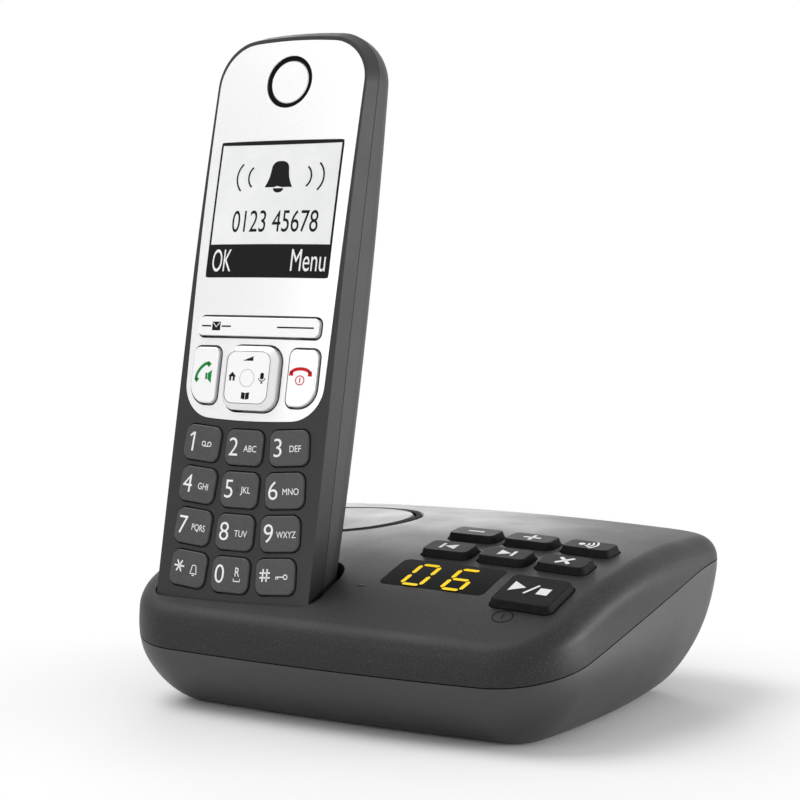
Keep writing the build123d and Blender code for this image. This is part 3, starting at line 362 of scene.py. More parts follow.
def gridFaces(rows, columns, closed=False):
    # quads between neighbouring rows and columns of a grid of points
    r, c = np.meshgrid(np.arange(rows - (not closed)), np.arange(columns - 1), indexing="ij")
    a = r * columns + c
    b = ((r + 1) % rows) * columns + c
    return np.column_stack([a.ravel(), (a + 1).ravel(), (b + 1).ravel(), b.ravel()])


def strokeShape(points, width, closed=False):
    # a band of constant width carried along a path: p(t) + s * width / 2 * n(t)
    path = np.array(points, float)
    if closed:
        ahead = np.roll(path, -1, axis=0) - np.roll(path, 1, axis=0)
    else:
        ahead = np.gradient(path, axis=0)
    ahead /= np.linalg.norm(ahead, axis=1, keepdims=True)
    side = np.column_stack([ahead[:, 1], -ahead[:, 0]]) * width / 2
    return np.stack([path - side, path, path + side], axis=1).reshape(-1, 2), gridFaces(len(path), 3, closed)


def arcPath(x, y, rx, ry, start, end, count=24):
    # ellipse: (x + rx * cos, y + ry * sin) from start to end, in degrees
    angle = np.radians(np.linspace(start, end, count))
    return np.column_stack([x + rx * np.cos(angle), y + ry * np.sin(angle)])


# how many points a ring has, and where its last one lies in degrees
ringSteps = {"disc": (120, 357), "ear": (72, 355), "mark": (46, 352), "end": (36, 350), "small": (24, 345)}


def ringShape(x, y, rx, ry, width, steps):
    # a band carried round an ellipse and closed
    count, last = ringSteps[steps]
    return strokeShape(arcPath(x, y, rx, ry, 0, last, count), width, closed=True)


def roundedPath(corners, radii, count=10, step=0.45):
    # closed path with arcs at its corners, centre = corner + bisector * r / sin(half angle),
    # in even steps that are short enough to follow a curved face
    path = []
    for index, (corner, radius) in enumerate(zip(corners, radii)):
        here = np.array(corner, float)
        back = np.array(corners[index - 1], float) - here
        ahead = np.array(corners[(index + 1) % len(corners)], float) - here
        back, ahead = back / np.linalg.norm(back), ahead / np.linalg.norm(ahead)
        middle = (back + ahead) / np.linalg.norm(back + ahead)
        half = math.acos(np.clip(middle.dot(ahead), -1, 1))
        centre = here + middle * radius / math.sin(half)
        spread = np.linspace(-1, 1, count) * (math.pi / 2 - half)
        sense = 1 if back[0] * ahead[1] - back[1] * ahead[0] < 0 else -1
        angle = math.atan2(-middle[1], -middle[0]) + sense * spread
        path.append(centre + radius * np.column_stack([np.cos(angle), np.sin(angle)]))
    path = np.concatenate(path + [path[0][:1]])
    travelled = np.concatenate([[0], np.cumsum(np.linalg.norm(np.diff(path, axis=0), axis=1))])
    even = np.linspace(0, travelled[-1], int(travelled[-1] / step), endpoint=False)
    return np.column_stack([np.interp(even, travelled, path[:, 0]), np.interp(even, travelled, path[:, 1])])


def blobShape(outline, middle=None):
    # a filled outline: middle + s * (outline(t) - middle), s from 0 to 1, one point at the middle
    ring = np.array(outline, float)
    middle = ring.mean(axis=0) if middle is None else np.array(middle, float)
    steps = np.array([0.4, 0.7, 1.0])
    points = (middle + steps[None, :, None] * (ring[:, None] - middle)).reshape(-1, 2)
    start = np.arange(len(ring)) * len(steps)
    fan = [(int(a), int(b), len(points)) for a, b in zip(start, np.roll(start, -1))]
    bands = [tuple(face) for face in gridFaces(len(ring), len(steps), True)]
    return np.concatenate([points, [middle]]), bands + fan


def bandShape(lower, upper):
    # a band between two curves: (1 - s) * lower(t) + s * upper(t)
    steps = np.linspace(0, 1, 3)[None, :, None]
    points = (1 - steps) * np.array(lower)[:, None] + steps * np.array(upper)[:, None]
    return points.reshape(-1, 2), gridFaces(len(lower), 3)


def discShape(x, y, radius, count=40):
    # a filled circle: (x + s * radius * cos, y + s * radius * sin), s from 0 to 1
    return blobShape(arcPath(x, y, radius, radius, 0, 360 * (1 - 1 / count), count))


def patchShape(x0, y0, x1, y1, columns=24, rows=16):
    # a rectangle as a fine grid, so that it can follow a curved face
    x, y = np.meshgrid(np.linspace(x0, x1, columns), np.linspace(y0, y1, rows), indexing="ij")
    return np.column_stack([x.ravel(), y.ravel()]), gridFaces(columns, rows)


def polygonShape(corners, count=8):
    # a straight-sided fill with every side divided evenly: a + (b - a) * s
    ends = np.array(corners, float)
    steps = np.linspace(0, 1, count, endpoint=False)[:, None]
    return blobShape(np.concatenate([a + (b - a) * steps for a, b in zip(ends, np.roll(ends, -1, axis=0))]))


def boxCorners(x0, y0, x1, y1):
    # the four corners of an upright rectangle, from two opposite ones
    return [(x0, y0), (x1, y0), (x1, y1), (x0, y1)]


def mirrored(points):
    # left and right exchanged: (-x, y)
    return [(-x, y) for x, y in points]


def joinShapes(*shapes):
    # several shapes as one: points one after the other, face numbers raised to suit
    starts = np.cumsum([0] + [len(points) for points, faces in shapes])
    return (np.concatenate([points for points, faces in shapes]),
            [tuple(int(i) + int(start) for i in face)
             for (points, faces), start in zip(shapes, starts) for face in faces])


def moved(shape, x=0.0, y=0.0, scale=1.0, lean=0.0):
    # scaled, leaned to the right by lean for each mm of height, and shifted
    points, faces = shape
    bent = points * scale
    bent = np.column_stack([bent[:, 0] + lean * bent[:, 1], bent[:, 1]])
    return bent + np.array([x, y]), faces


def turned(shape, degrees):
    # turned to the left: (x * cos - y * sin, x * sin + y * cos)
    points, faces = shape
    c, s = math.cos(math.radians(degrees)), math.sin(math.radians(degrees))
    return points @ np.array([[c, s], [-s, c]]), faces


lettering = {"capHeight": 0.73, "resolution": 6}       # of Blender's own typeface


def wordShape(words, height, squeeze=1.0, weight=0.0):
    # letters as flat mesh, centred, scaled so that capitals have this height
    curve = bpy.data.curves.new("letters", "FONT")
    curve.body = words
    curve.offset = weight
    curve.resolution_u = lettering["resolution"]
    letters = bpy.data.objects.new("letters", curve)
    bpy.context.scene.collection.objects.link(letters)
    bpy.context.view_layer.update()
    mesh = bpy.data.meshes.new_from_object(letters.evaluated_get(bpy.context.evaluated_depsgraph_get()))
    flat = np.empty(len(mesh.vertices) * 3)
    mesh.vertices.foreach_get("co", flat)
    flat = flat.reshape(-1, 3)[:, :2]
    faces = [tuple(polygon.vertices) for polygon in mesh.polygons]
    bpy.data.objects.remove(letters)
    bpy.data.meshes.remove(mesh)
    bpy.data.curves.remove(curve)
    flat = (flat - (flat.min(axis=0) + flat.max(axis=0)) / 2) * height / lettering["capHeight"]
    return flat * np.array([squeeze, 1.0]), faces


# ink: its thickness, and how far its middle stands off the surface, in mm
ink = {"thick": 0.03, "thin": 0.02, "base": 0.01, "lit": 0.02, "face": 0.012, "rim": 0.014,
       "topShade": 0.016, "onBar": 0.03, "flap": 0.04}


def layShape(name, shape, surface, body, finish, thickness=ink["thick"]):
    # put a flat shape on a surface, give it the ink's thickness, and let it ride on its body
    points, faces = shape
    mesh = bpy.data.meshes.new(name)
    mesh.from_pydata((surface(np.asarray(points)) * mm).tolist(), [], [tuple(map(int, f)) for f in faces])
    mesh.materials.append(finishes[finish])
    piece = bpy.data.objects.new(name, mesh)
    bpy.context.scene.collection.objects.link(piece)
    solid = piece.modifiers.new("ink", "SOLIDIFY")
    solid.thickness = thickness * mm
    solid.offset = 0.0
    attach(piece, body)


# base: white signs on the keys, in mm round each key's middle; crossLine and slashLine are shares of line
baseKeys = {"column": 15.5, "pitch": 16.5, "row": -1.8, "rowPitch": 13.45, "playRow": -32.4, "height": 1.8}
baseSigns = {"scale": 1.16, "line": 0.72, "arcLine": 0.46, "crossLine": 1.2, "slashLine": 0.8,
             "minus": [(-2, 0), (2, 0)], "plus": ([(-2.1, 0), (2.1, 0)], [(0, -1.9), (0, 1.9)]),
             "source": (-1.9, 0, 0.75), "waves": (1.6, 2.6, 3.6), "waveSweep": 42,
             "skip": [(1.2, 0), (-1.7, 1.4), (-1.7, -1.4)], "skipBar": [(1.8, -1.4), (1.8, 1.4)],
             "cross": ([(-1.6, -1.6), (1.6, 1.6)], [(-1.6, 1.6), (1.6, -1.6)]),
             "play": [(-1.5, 0.6), (-4.9, 2.6), (-4.9, -1.4)], "slash": [(-1.0, -1.7), (1.0, 2.1)],
             "stop": (1.7, -1.4, 4.3, 1.2)}
leftColumn, midColumn, rightColumn = (baseKeys["column"] + i * baseKeys["pitch"] for i in range(3))
topRow, lowRow = baseKeys["row"], baseKeys["row"] - baseKeys["rowPitch"]
signLine, waveSweep = baseSigns["line"], baseSigns["waveSweep"]
sourceX, sourceY, sourceRadius = baseSigns["source"]
pagingWaves = [strokeShape(arcPath(sourceX, sourceY, r, r, -waveSweep, waveSweep), baseSigns["arcLine"])
               for r in baseSigns["waves"]]
baseMarks = {
    "minus": ((leftColumn, topRow), strokeShape(baseSigns["minus"], signLine)),
    "plus": ((midColumn, topRow), joinShapes(*[strokeShape(bar, signLine) for bar in baseSigns["plus"]])),
    "paging": ((rightColumn, topRow), joinShapes(discShape(sourceX, sourceY, sourceRadius), *pagingWaves)),
    "previous": ((leftColumn, lowRow), joinShapes(strokeShape(mirrored(baseSigns["skipBar"]), signLine),
                                                  polygonShape(mirrored(baseSigns["skip"])))),
    "next": ((midColumn, lowRow), joinShapes(polygonShape(baseSigns["skip"]),
                                             strokeShape(baseSigns["skipBar"], signLine))),
    "delete": ((rightColumn, lowRow), joinShapes(
        *[strokeShape(bar, signLine * baseSigns["crossLine"]) for bar in baseSigns["cross"]])),
    "play_stop": ((rightColumn, baseKeys["playRow"]), joinShapes(
        polygonShape(baseSigns["play"]),
        strokeShape(baseSigns["slash"], signLine * baseSigns["slashLine"]),
        polygonShape(boxCorners(*baseSigns["stop"])))),
}
for key, ((x, y), shape) in baseMarks.items():
    layShape("mark_" + key, moved(shape, scale=baseSigns["scale"]),
             onPlane(crownFrame(x, y), baseKeys["height"] + ink["base"]), "base_key_" + key, "whiteInk")

standbyMark = {"place": (45.7, -41.9), "radii": (2.6, 2.15), "line": 0.4, "barHalf": 0.9}
standbyX, standbyY = standbyMark["place"]
standbyBar = [(standbyX, standbyY - standbyMark["barHalf"]), (standbyX, standbyY + standbyMark["barHalf"])]
layShape("mark_standby", joinShapes(
    ringShape(standbyX, standbyY, *standbyMark["radii"], standbyMark["line"], "mark"),
    strokeShape(standbyBar, standbyMark["line"])), onCrown(ink["base"]), "base", "blackInk")

# base: lit counter behind the window
counter = {"place": (21.3, -28.7), "digits": "06", "step": 11.5, "left": -5.9, "low": -0.8,
           "half": (2.7, 5.35), "bar": 1.15, "gap": 0.35, "lean": 0.02}
segmentsLit = {"0": "abcdef", "6": "acdefg"}
halfX, halfY = counter["half"]
segmentEnds = {"a": ((-halfX, halfY), (halfX, halfY)), "d": ((-halfX, -halfY), (halfX, -halfY)),
               "g": ((-halfX, 0), (halfX, 0)), "f": ((-halfX, 0), (-halfX, halfY)),
               "e": ((-halfX, -halfY), (-halfX, 0)), "b": ((halfX, 0), (halfX, halfY)),
               "c": ((halfX, -halfY), (halfX, 0))}


def segmentShape(name):
    # one bar of a seven-segment digit, pointed at both ends
    start, end = (np.array(point, float) for point in segmentEnds[name])
    ahead = (end - start) / np.linalg.norm(end - start)
    tip = ahead * (counter["bar"] / 2)
    side = np.array([-tip[1], tip[0]])
    start, end = start + ahead * counter["gap"], end - ahead * counter["gap"]
    return polygonShape([start, start + tip + side, end - tip + side,
                         end, end - tip - side, start + tip - side])


for index, digit in enumerate(counter["digits"]):
    bars = joinShapes(*[segmentShape(segment) for segment in segmentsLit[digit]])
    layShape("counter_digit_%d" % index,
             moved(bars, counter["left"] + index * counter["step"], counter["low"], lean=counter["lean"]),
             onPlane(crownFrame(*counter["place"]), ink["lit"]), "base", "litYellow")

# black gauze lies just under the mouth of the slot round each sound disc, as painted shade that keeps the
# whole slot dark
gauzeShade = {"disc": (-33.0, 11.0), "discRadii": (18.8, 20.3), "discDepth": 0.14,
         "ear": (0.0, 101.1), "earRadii": (5.85, 7.05), "earDepth": 0.35}


def gauzeShadeRing(place, radii, steps):
    # a ring that reaches from its inner to its outer radius
    middle = sum(radii) / 2
    return ringShape(*place, middle, middle, radii[1] - radii[0], steps)


# painted shade: near-black gauze in the slots round the base's disc and the earpiece
layShape("disc_gauze_shade", gauzeShadeRing(gauzeShade["disc"], gauzeShade["discRadii"], "disc"),
         onCrown(-gauzeShade["discDepth"]), "base", "gauzeShade")
layShape("ear_gauze_shade", gauzeShadeRing(gauzeShade["ear"], gauzeShade["earRadii"], "ear"),
         onFace(-gauzeShade["earDepth"]), "handset", "gauzeShade")
print("base marks laid")

# handset: what the screen shows; words are (letters, height, squeeze, u, v), rimCounts are points
# along each side of the rim, and a wave is (reach from the bell's middle, radius, sweep)
screen = {"half": 19.4, "low": 48.9, "high": 85.1, "inset": 0.2, "barTop": 57.6, "edge": 0.6,
          "rimCounts": (40, 41, 41, 41), "topShade": 0.55, "topCount": 40,
          "bell": (0.97, 75.36), "bellScale": (1.03, 0.83), "waves": ((9.9, 3.3, 52), (13.7, 4.75, 49)),
          "waveUp": 0.1, "waveLine": 0.5, "waveCount": 20, "clapper": (1.65, 1.15), "clapperDrop": 2.95,
          "clapperMiddle": 3.3, "clapperCount": 16, "number": ("0123 45678", 6.0, 0.7, 1.0, 63.7),
          "ok": ("OK", 6.2, 0.52, -14.5, 53.3), "menu": ("Menu", 6.1, 0.59, 13.0, 53.4)}
bellHalf = np.array([(0.0, 5.2), (0.9, 5.15), (1.7, 4.8), (2.3, 4.1), (2.6, 3.2), (2.75, 1.6), (3.0, 0.0),
                     (3.5, -1.6), (4.2, -3.2)])


def layOnFace(name, shape, lift=ink["face"], finish="blackInk"):
    # thin print that follows the handset's face
    layShape(name, shape, onFace(lift), "handset", finish, ink["thin"])


inset = screen["inset"]
half, low, high = screen["half"] - inset, screen["low"] + inset, screen["high"] - inset
layOnFace("screen_bar", patchShape(-half, low, half, screen["barTop"]))
rimCorners = np.array(boxCorners(-half, low, half, high))
rimSides = zip(rimCorners, np.roll(rimCorners, -1, axis=0), screen["rimCounts"])
rim = np.concatenate([np.linspace(start, end, count)[:-1] for start, end, count in rimSides])
layOnFace("screen_rim", strokeShape(rim, screen["edge"], closed=True), ink["rim"])
# painted shade: a dark band along the screen's top stands for the shade that the lens's edge casts on the
# screen
run = np.linspace(-1, 1, screen["topCount"])      # the dark edge at the top is deepest in its middle
layOnFace("screen_top_shade", bandShape(
    np.column_stack([run * half, high - screen["topShade"] * (1.5 - 0.5 * run ** 2)]),
    np.column_stack([run * half, np.full(len(run), high)])), ink["topShade"])

bellX, bellY = screen["bell"]
bellOutline = np.concatenate([bellHalf, (bellHalf * [-1, 1])[::-1]]) * screen["bellScale"] + [bellX, bellY]
ringing = [strokeShape(arcPath(bellX + way * (reach - r), bellY + screen["waveUp"], r, r,
                               facing - sweep, facing + sweep, screen["waveCount"]), screen["waveLine"])
           for way, facing in ((1, 0), (-1, 180)) for reach, r, sweep in screen["waves"]]
clapper = blobShape(arcPath(bellX, bellY - screen["clapperDrop"], *screen["clapper"], 180, 360,
                            screen["clapperCount"]), (bellX, bellY - screen["clapperMiddle"]))
layOnFace("screen_bell", joinShapes(blobShape(bellOutline, (bellX, bellY)), *ringing, clapper))
for name, lift, finish in (("number", ink["face"], "blackInk"), ("ok", ink["onBar"], "whiteInk"),
                           ("menu", ink["onBar"], "whiteInk")):
    words, tall, squeeze, u, v = screen[name]
    layOnFace("screen_" + name, moved(wordShape(words, tall, squeeze), u, v), lift, finish)

# handset: signs on the navigation key, in mm round its middle; a place is (u, v) or (u, v, scale)
rocker = {"v": 22.3, "top": 2.6, "ring": (0, -0.2, 2.25, 2.25), "ringLine": 0.16,
          "roof": [(-1.25, 0.0), (0, 1.2), (1.25, 0.0)],
          "wall": [(-0.85, 0.0), (-0.85, -1.1), (-0.25, -1.1), (-0.25, 0.0)], "housePlace": (-4.7, 0.1),
          "micTop": (0, 0.75, 0.66, 0.6, 0, 180, 12), "micLow": (0, -0.15, 0.66, 0.6, 180, 360, 12),
          "yoke": (0, -0.1, 1.25, 1.15, 190, 350, 16), "yokeLine": 0.26,
          "stem": [(0, -1.2), (0, -1.8)], "stemLine": 0.28, "foot": [(-0.5, -1.8), (0.5, -1.8)],
          "footLine": 0.24, "micPlace": (4.7, 0.2, 0.85),
          "page": [(-1.3, 1.0), (-0.08, 0.8), (-0.08, -1.0), (-1.3, -0.8)], "bookPlace": (0, -4.8, 0.95),
          "volume": [(-1.8, 4.3), (1.4, 4.3), (1.4, 5.5)]}
rockerTop = onPlane((facePoint + upward * rocker["v"], across, upward, outward), rocker["top"] + ink["face"])
house = joinShapes(polygonShape(rocker["roof"]), polygonShape(rocker["wall"]),
                   polygonShape(mirrored(rocker["wall"])))
micOutline = np.concatenate([arcPath(*rocker["micTop"]), arcPath(*rocker["micLow"])])
microphone = joinShapes(blobShape(micOutline), *[
    strokeShape(path, line) for path, line in (
        (arcPath(*rocker["yoke"]), rocker["yokeLine"]), (rocker["stem"], rocker["stemLine"]),
        (rocker["foot"], rocker["footLine"]))])
book = joinShapes(polygonShape(rocker["page"]), polygonShape(mirrored(rocker["page"])))
layShape("rocker_ring", ringShape(*rocker["ring"], rocker["ringLine"], "mark"), rockerTop,
         "nav_key", "greyInk")
rockerSigns = {"house": moved(house, *rocker["housePlace"]), "mic": moved(microphone, *rocker["micPlace"]),
               "book": moved(book, *rocker["bookPlace"]), "volume": polygonShape(rocker["volume"])}
for name, sign in rockerSigns.items():
    layShape("rocker_" + name, sign, rockerTop, "nav_key", "blackInk")

# talk: a receiver with a small loudspeaker; end: a laid-down receiver over a standby ring
callKeys = {"u": 15.4, "v": 22.85, "top": 0.9, "handle": (0, 0, 2.85, 1.3, 0, 180, 28), "handleLine": 0.85,
            "earEnd": [(2.15, -0.55), (3.45, -0.55), (3.25, 0.75), (2.3, 0.6)],
            "talkTurn": 48, "talkPlace": (-0.45, 0.75, 0.98), "endPlace": (-0.35, 1.1),
            "magnet": [(0.5, 0.5), (1.15, 0.5), (1.15, -1.2), (0.5, -1.2)],
            "horn": [(1.3, 0.4), (2.55, 1.3), (2.55, -2.2), (1.3, -1.1)],
            "ring": (-0.4, -0.55, 1.25, 1.15), "ringLine": 0.28, "bar": [(-0.4, 0.15), (-0.4, -1.2)],
            "barLine": 0.32}
receiver = joinShapes(strokeShape(arcPath(*callKeys["handle"]), callKeys["handleLine"]),
                      polygonShape(callKeys["earEnd"]), polygonShape(mirrored(callKeys["earEnd"])))
talkTop, endTop = (onPlane(faceFrame(way * callKeys["u"], callKeys["v"]), callKeys["top"] + ink["face"])
                   for way in (-1, 1))
layShape("talk_receiver", moved(turned(receiver, callKeys["talkTurn"]), *callKeys["talkPlace"]), talkTop,
         "talk_key", "greenInk")
layShape("talk_speaker", joinShapes(polygonShape(callKeys["magnet"]), polygonShape(callKeys["horn"])),
         talkTop, "talk_key", "greenInk")
layShape("end_receiver", moved(receiver, *callKeys["endPlace"]), endTop, "end_key", "redInk")
layShape("end_ring", joinShapes(ringShape(*callKeys["ring"], callKeys["ringLine"], "end"),
                                strokeShape(callKeys["bar"], callKeys["barLine"])),
         endTop, "end_key", "redInk")

# soft-key bar: dashes, and an envelope whose flap is left in the bar's own silver
softKeys = {"v": 35.75, "top": 0.5, "dashes": ((-17.9, -14.9), (-11.5, -8.5), (6.2, 17.6)), "line": 0.4,
            "letter": (-14.5, -1.15, -11.9, 1.15), "flap": [(-14.2, 0.85), (-13.2, -0.25), (-12.2, 0.85)],
            "flapLine": 0.22}
barFrame = (facePoint + upward * softKeys["v"], across, upward, outward)
barTop = onPlane(barFrame, softKeys["top"] + ink["face"])
dashes = [strokeShape([(start, 0), (end, 0)], softKeys["line"]) for start, end in softKeys["dashes"]]
layShape("softkey_marks", joinShapes(*dashes), barTop, "softkey_bar", "blackInk")
layShape("softkey_letter", polygonShape(boxCorners(*softKeys["letter"])), barTop, "softkey_bar", "blackInk")
layShape("softkey_flap", strokeShape(softKeys["flap"], softKeys["flapLine"]),
         onPlane(barFrame, softKeys["top"] + ink["flap"]), "softkey_bar", "silverKeys")

# painted shade: a thin dark band round each key opening stands for the shade in the gap round the key, and a
# thin grey line runs round the navigation key's top face; a box is an opening's two corners
edges = {"width": 0.26, "reach": 0.47, "softBox": (-19.0, 33.3, 19.0, 38.2), "softCorner": 1.4,
         "navHalf": 8.3, "navCorner": 4.0, "navFace": 6.75, "navFaceCorner": 2.6, "navFaceLine": 0.16,
         "callBox": (11.2, 15.5, 19.6, 30.2), "callRadii": [1.8, 5.0, 1.8, 1.8]}


def gapShadeBand(name, box, radii, way=1):
    # a thin dark band of painted gap shade that runs round an opening at reach from it; way -1 puts it on
    # the left
    x0, y0, x1, y1 = box
    off = edges["reach"]
    corners = boxCorners(way * (x0 - off), y0 - off, way * (x1 + off), y1 + off)
    path = roundedPath(corners, [radius + off for radius in radii])
    layOnFace(name, strokeShape(path, edges["width"], closed=True))


# painted shade in the gaps round the soft-key bar and the navigation key
gapShadeBand("soft_bar_gap_shade", edges["softBox"], [edges["softCorner"]] * 4)
navHalf, navFace = edges["navHalf"], edges["navFace"]
gapShadeBand("rocker_gap_shade", (-navHalf, rocker["v"] - navHalf, navHalf, rocker["v"] + navHalf),
         [edges["navCorner"]] * 4)
navPath = roundedPath(boxCorners(-navFace, -navFace, navFace, navFace), [edges["navFaceCorner"]] * 4)
layShape("rocker_face_edge", strokeShape(navPath, edges["navFaceLine"], closed=True), rockerTop,
         "nav_key", "lineInk")
# painted shade in the gaps round the talk and end keys
gapShadeBand("talk_key_gap_shade", edges["callBox"], edges["callRadii"], -1)
gapShadeBand("end_key_gap_shade", edges["callBox"], edges["callRadii"])
print("handset marks laid")

# number pad: a figure on the left of each key, letters or a small sign on the right
pad = {"pitch": 13.7, "rowPitch": 10.91, "firstRow": 5.0, "smile": 0.6, "turn": 4.5, "top": 0.6,
       "digit": (5.0, 0.98), "digitWeight": -0.006, "digitPlace": (-3.25, 0.1), "letters": 1.75,
       "lettersPlace": (2.0, -0.25), "signScale": 0.9, "dot": (-0.75, 0.1, 0.3), "dotCount": 20,
       "dotHeight": 0.3}      # half of the dot's height lies in the key
padKeys = [("1", "1", ""), ("2", "2", "ABC"), ("3", "3", "DEF"), ("4", "4", "GHI"), ("5", "5", "JKL"),
           ("6", "6", "MNO"), ("7", "7", "PQRS"), ("8", "8", "TUV"), ("9", "9", "WXYZ"), ("star", "*", ""),
           ("0", "0", ""), ("hash", "#", "")]
lettersSqueeze = {3: 0.88, 4: 0.8}      # by the number of letters

# signs that are drawn, in mm round their middle
tapeSign = {"reel": 1.05, "radius": 0.62, "low": -0.66, "line": 0.26}
tape = joinShapes(*[ringShape(way * tapeSign["reel"], 0, tapeSign["radius"], tapeSign["radius"],
                              tapeSign["line"], "small") for way in (-1, 1)],
                  strokeShape([(-tapeSign["reel"], tapeSign["low"]), (tapeSign["reel"], tapeSign["low"])],
                              tapeSign["line"]))
bellSign = {"scale": 0.3, "line": 0.26, "clapper": [(-0.4, -1.45), (0.4, -1.45)], "clapperLine": 0.3}
smallBell = bellHalf * bellSign["scale"]
bell = joinShapes(strokeShape(np.concatenate([smallBell[2:], (smallBell * [-1, 1])[:1:-1]]),
                              bellSign["line"], closed=True),
                  strokeShape(bellSign["clapper"], bellSign["clapperLine"]))
recallSign = {"letter": ("R", 2.7, 0.8), "up": 0.9, "line": 0.28,
              "tray": [(-1.1, -1.0), (-1.1, -1.75), (1.1, -1.75), (1.1, -1.0)]}
recall = joinShapes(moved(wordShape(*recallSign["letter"]), 0, recallSign["up"]),
                    strokeShape(recallSign["tray"], recallSign["line"]))
lockSign = {"line": 0.3, "bow": (1.3, 0, 0.62, 0.62), "bowLine": 0.28,
            "bars": ([(-1.9, 0), (0.7, 0)], [(-1.75, 0), (-1.75, -0.7)], [(-1.1, 0), (-1.1, -0.6)])}
lock = joinShapes(*[strokeShape(bar, lockSign["line"]) for bar in lockSign["bars"]],
                  ringShape(*lockSign["bow"], lockSign["bowLine"], "small"))
oneSign = {"stem": [(0.35, -2.5), (0.35, 2.5)], "stemLine": 0.55,
           "flag": [(-0.95, 1.35), (-0.3, 1.9), (0.25, 2.4)], "flagLine": 0.5}
one = joinShapes(strokeShape(oneSign["stem"], oneSign["stemLine"]),
                 strokeShape(oneSign["flag"], oneSign["flagLine"]))
starSign = {"bar": [(-1.65, 0), (0, 0), (1.65, 0)], "angles": (0, 60, 120), "line": 0.42}
star = joinShapes(*[turned(strokeShape(starSign["bar"], starSign["line"]), angle)
                    for angle in starSign["angles"]])
hashSign = {"half": (1.55, 1.6), "gaps": (-0.6, 0.6), "lean": 0.15, "line": 0.42}
hashX, hashY = hashSign["half"]
level = [[(-hashX, gap), (hashX, gap)] for gap in hashSign["gaps"]]
leaning = [[(gap - hashSign["lean"], -hashY), (gap + hashSign["lean"], hashY)] for gap in hashSign["gaps"]]
hashFigure = joinShapes(*[strokeShape(bar, hashSign["line"]) for bar in level + leaning])
# each with its place, right and up: signs from the key's middle, figures from the digit's place
smallSigns = {"1": (tape, 1.6, -0.1), "star": (bell, 2.0, -0.2), "0": (recall, 2.3, 0.1),
              "hash": (lock, 2.0, 0.0)}
drawnFigures = {"1": (one, 0, 0), "*": (star, 0.3, 0.25), "#": (hashFigure, 0.3, 0.3)}

for index, (key, digit, letters) in enumerate(padKeys):
    row, column = divmod(index, 3)
    way = column - 1
    v = pad["firstRow"] - row * pad["rowPitch"] - (0 if way else pad["smile"])
    keyTop = onPlane(faceFrame(way * pad["pitch"], v, way * pad["turn"]), pad["top"] + ink["face"])
    if digit in drawnFigures:
        figure, x, y = drawnFigures[digit]
    else:
        figure, x, y = wordShape(digit, *pad["digit"], pad["digitWeight"]), 0, 0
    layShape("digit_" + key, moved(figure, pad["digitPlace"][0] + x, pad["digitPlace"][1] + y), keyTop,
             "key_" + key, "whiteInk")
    if letters:
        word = wordShape(letters, pad["letters"], lettersSqueeze[len(letters)])
        layShape("letters_" + key, moved(word, *pad["lettersPlace"]), keyTop, "key_" + key, "whiteInk")
    else:
        sign, x, y = smallSigns[key]
        layShape("symbol_" + key, moved(sign, x, y, pad["signScale"]), keyTop, "key_" + key, "whiteInk")
    if digit == "5":
        layShape("finger_dot", discShape(*pad["dot"], pad["dotCount"]), keyTop, "key_" + key, "padKeys",
                 pad["dotHeight"])
print("number pad laid")

# floor: it keeps the shadow near the part and fades to plain white further out, in metres
studio = {"floorSize": 9.0, "floorGrey": "#fcfcfc", "fadeStart": 0.08, "fadeEnd": 0.2, "world": 0.5}
floorMesh = bpy.data.meshes.new("studio_floor")
floorHalf = studio["floorSize"]
floorMesh.from_pydata([(x, y, 0) for x, y in boxCorners(-floorHalf, -floorHalf, floorHalf, floorHalf)], [],
                      [(0, 1, 2, 3)])
floor = bpy.data.objects.new("studio_floor", floorMesh)
bpy.context.scene.collection.objects.link(floor)
material, tree, output, place = startMaterial("paintedStudioFloor")
matte = addNode(tree, "ShaderNodeBsdfDiffuse", inputs={"Color": linearColour(studio["floorGrey"])})
plainWhite = addNode(tree, "ShaderNodeEmission", inputs={"Color": (1, 1, 1, 1), "Strength": 1.0})
flat = addNode(tree, "ShaderNodeMapping", inputs={"Vector": (place, "Object"), "Scale": (1, 1, 0)})
distance = addNode(tree, "ShaderNodeVectorMath", {"operation": "LENGTH"}, {0: (flat, "Vector")})
fade = addNode(tree, "ShaderNodeMapRange", {"interpolation_type": "SMOOTHSTEP"}, {
    "Value": (distance, "Value"), "From Min": studio["fadeStart"], "From Max": studio["fadeEnd"]})
rays = addNode(tree, "ShaderNodeLightPath")
seen = addNode(tree, "ShaderNodeMath", {"operation": "MAXIMUM"}, {
    0: (rays, "Is Camera Ray"), 1: (rays, "Is Glossy Ray")})
share = addNode(tree, "ShaderNodeMath", {"operation": "MULTIPLY"}, {0: (fade, "Result"), 1: (seen, "Value")})
mixed = addNode(tree, "ShaderNodeMixShader", inputs={
    0: (share, "Value"), 1: (matte, "BSDF"), 2: (plainWhite, "Emission")})
floorMesh.materials.append(finishMaterial(material, tree, output, mixed))

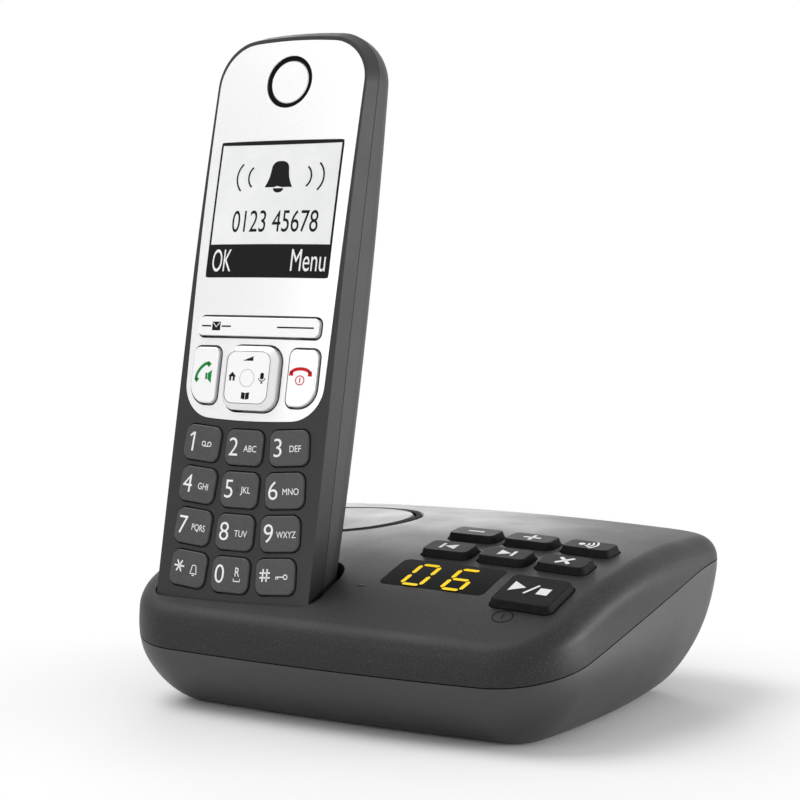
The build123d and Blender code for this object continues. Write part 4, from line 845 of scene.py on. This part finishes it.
# world: plain white to the camera and in reflections, half as strong as light
world = bpy.data.worlds.new("studioWorld")
bpy.context.scene.world = world
world.use_nodes = True
tree = world.node_tree
tree.nodes.clear()
rays = addNode(tree, "ShaderNodeLightPath")
seenDirectly = addNode(tree, "ShaderNodeMath", {"operation": "MAXIMUM"}, {
    0: (rays, "Is Camera Ray"), 1: (rays, "Is Glossy Ray")})
seen = addNode(tree, "ShaderNodeMath", {"operation": "MAXIMUM"}, {
    0: (seenDirectly, "Value"), 1: (rays, "Is Transmission Ray")})
strength = addNode(tree, "ShaderNodeMapRange", inputs={
    "Value": (seen, "Value"), "To Min": studio["world"], "To Max": 1.0})
sky = addNode(tree, "ShaderNodeBackground", inputs={"Color": (1, 1, 1, 1), "Strength": (strength, "Result")})
addNode(tree, "ShaderNodeOutputWorld", inputs={"Surface": (sky, "Background")})

# lamps: the point that each faces and its size in metres, and its power in watts

def softbox(name, place, target, size, power):
    light = bpy.data.lights.new(name, "AREA")
    light.shape = "RECTANGLE"
    light.size, light.size_y = size
    light.energy = power
    lamp = bpy.data.objects.new(name, light)
    bpy.context.scene.collection.objects.link(lamp)
    lamp.location = place
    lamp.rotation_euler = (Vector(target) - Vector(place)).to_track_quat("-Z", "Y").to_euler()


softbox("side_softbox", (0.7, 0.28, 0.1), (0.03, 0, 0.04), (0.6, 0.18), 5.0)
softbox("top_softbox", (-0.6, -0.3, 1.15), (0, 0, 0.03), (0.9, 0.9), 8)
softbox("front_softbox", (-0.35, -1.2, 0.36), (-0.03, -0.05, 0.11), (0.35, 0.8), 2.2)
softbox("back_softbox", (-0.5, 0.62, 0.27), (-0.02, 0.02, 0.04), (0.4, 0.34), 2.0)

# camera: place in metres, angles in degrees, focal length and width in pixels
view = {"place": (0.28846, -0.47508, 0.11811), "azimuth": 32.08, "pitch": 4.05, "focal": 2106.21,
        "width": 800, "sensor": 36.0, "nearest": 0.01}
turn, tip = math.radians(view["azimuth"]), math.radians(view["pitch"])
ahead = Vector((-math.sin(turn) * math.cos(tip), math.cos(turn) * math.cos(tip), -math.sin(tip)))
rightWay = Vector((math.cos(turn), math.sin(turn), 0))
cameraData = bpy.data.cameras.new("studio_camera")
cameraData.sensor_width = view["sensor"]
cameraData.lens = view["focal"] * view["sensor"] / view["width"]
cameraData.clip_start = view["nearest"]
camera = bpy.data.objects.new("studio_camera", cameraData)
bpy.context.scene.collection.objects.link(camera)
pose = Matrix((rightWay, rightWay.cross(ahead), -ahead)).transposed().to_4x4()
pose.translation = Vector(view["place"])
camera.matrix_world = pose
bpy.context.scene.camera = camera
bpy.context.scene.view_settings.view_transform = "Standard"
print("studio set")
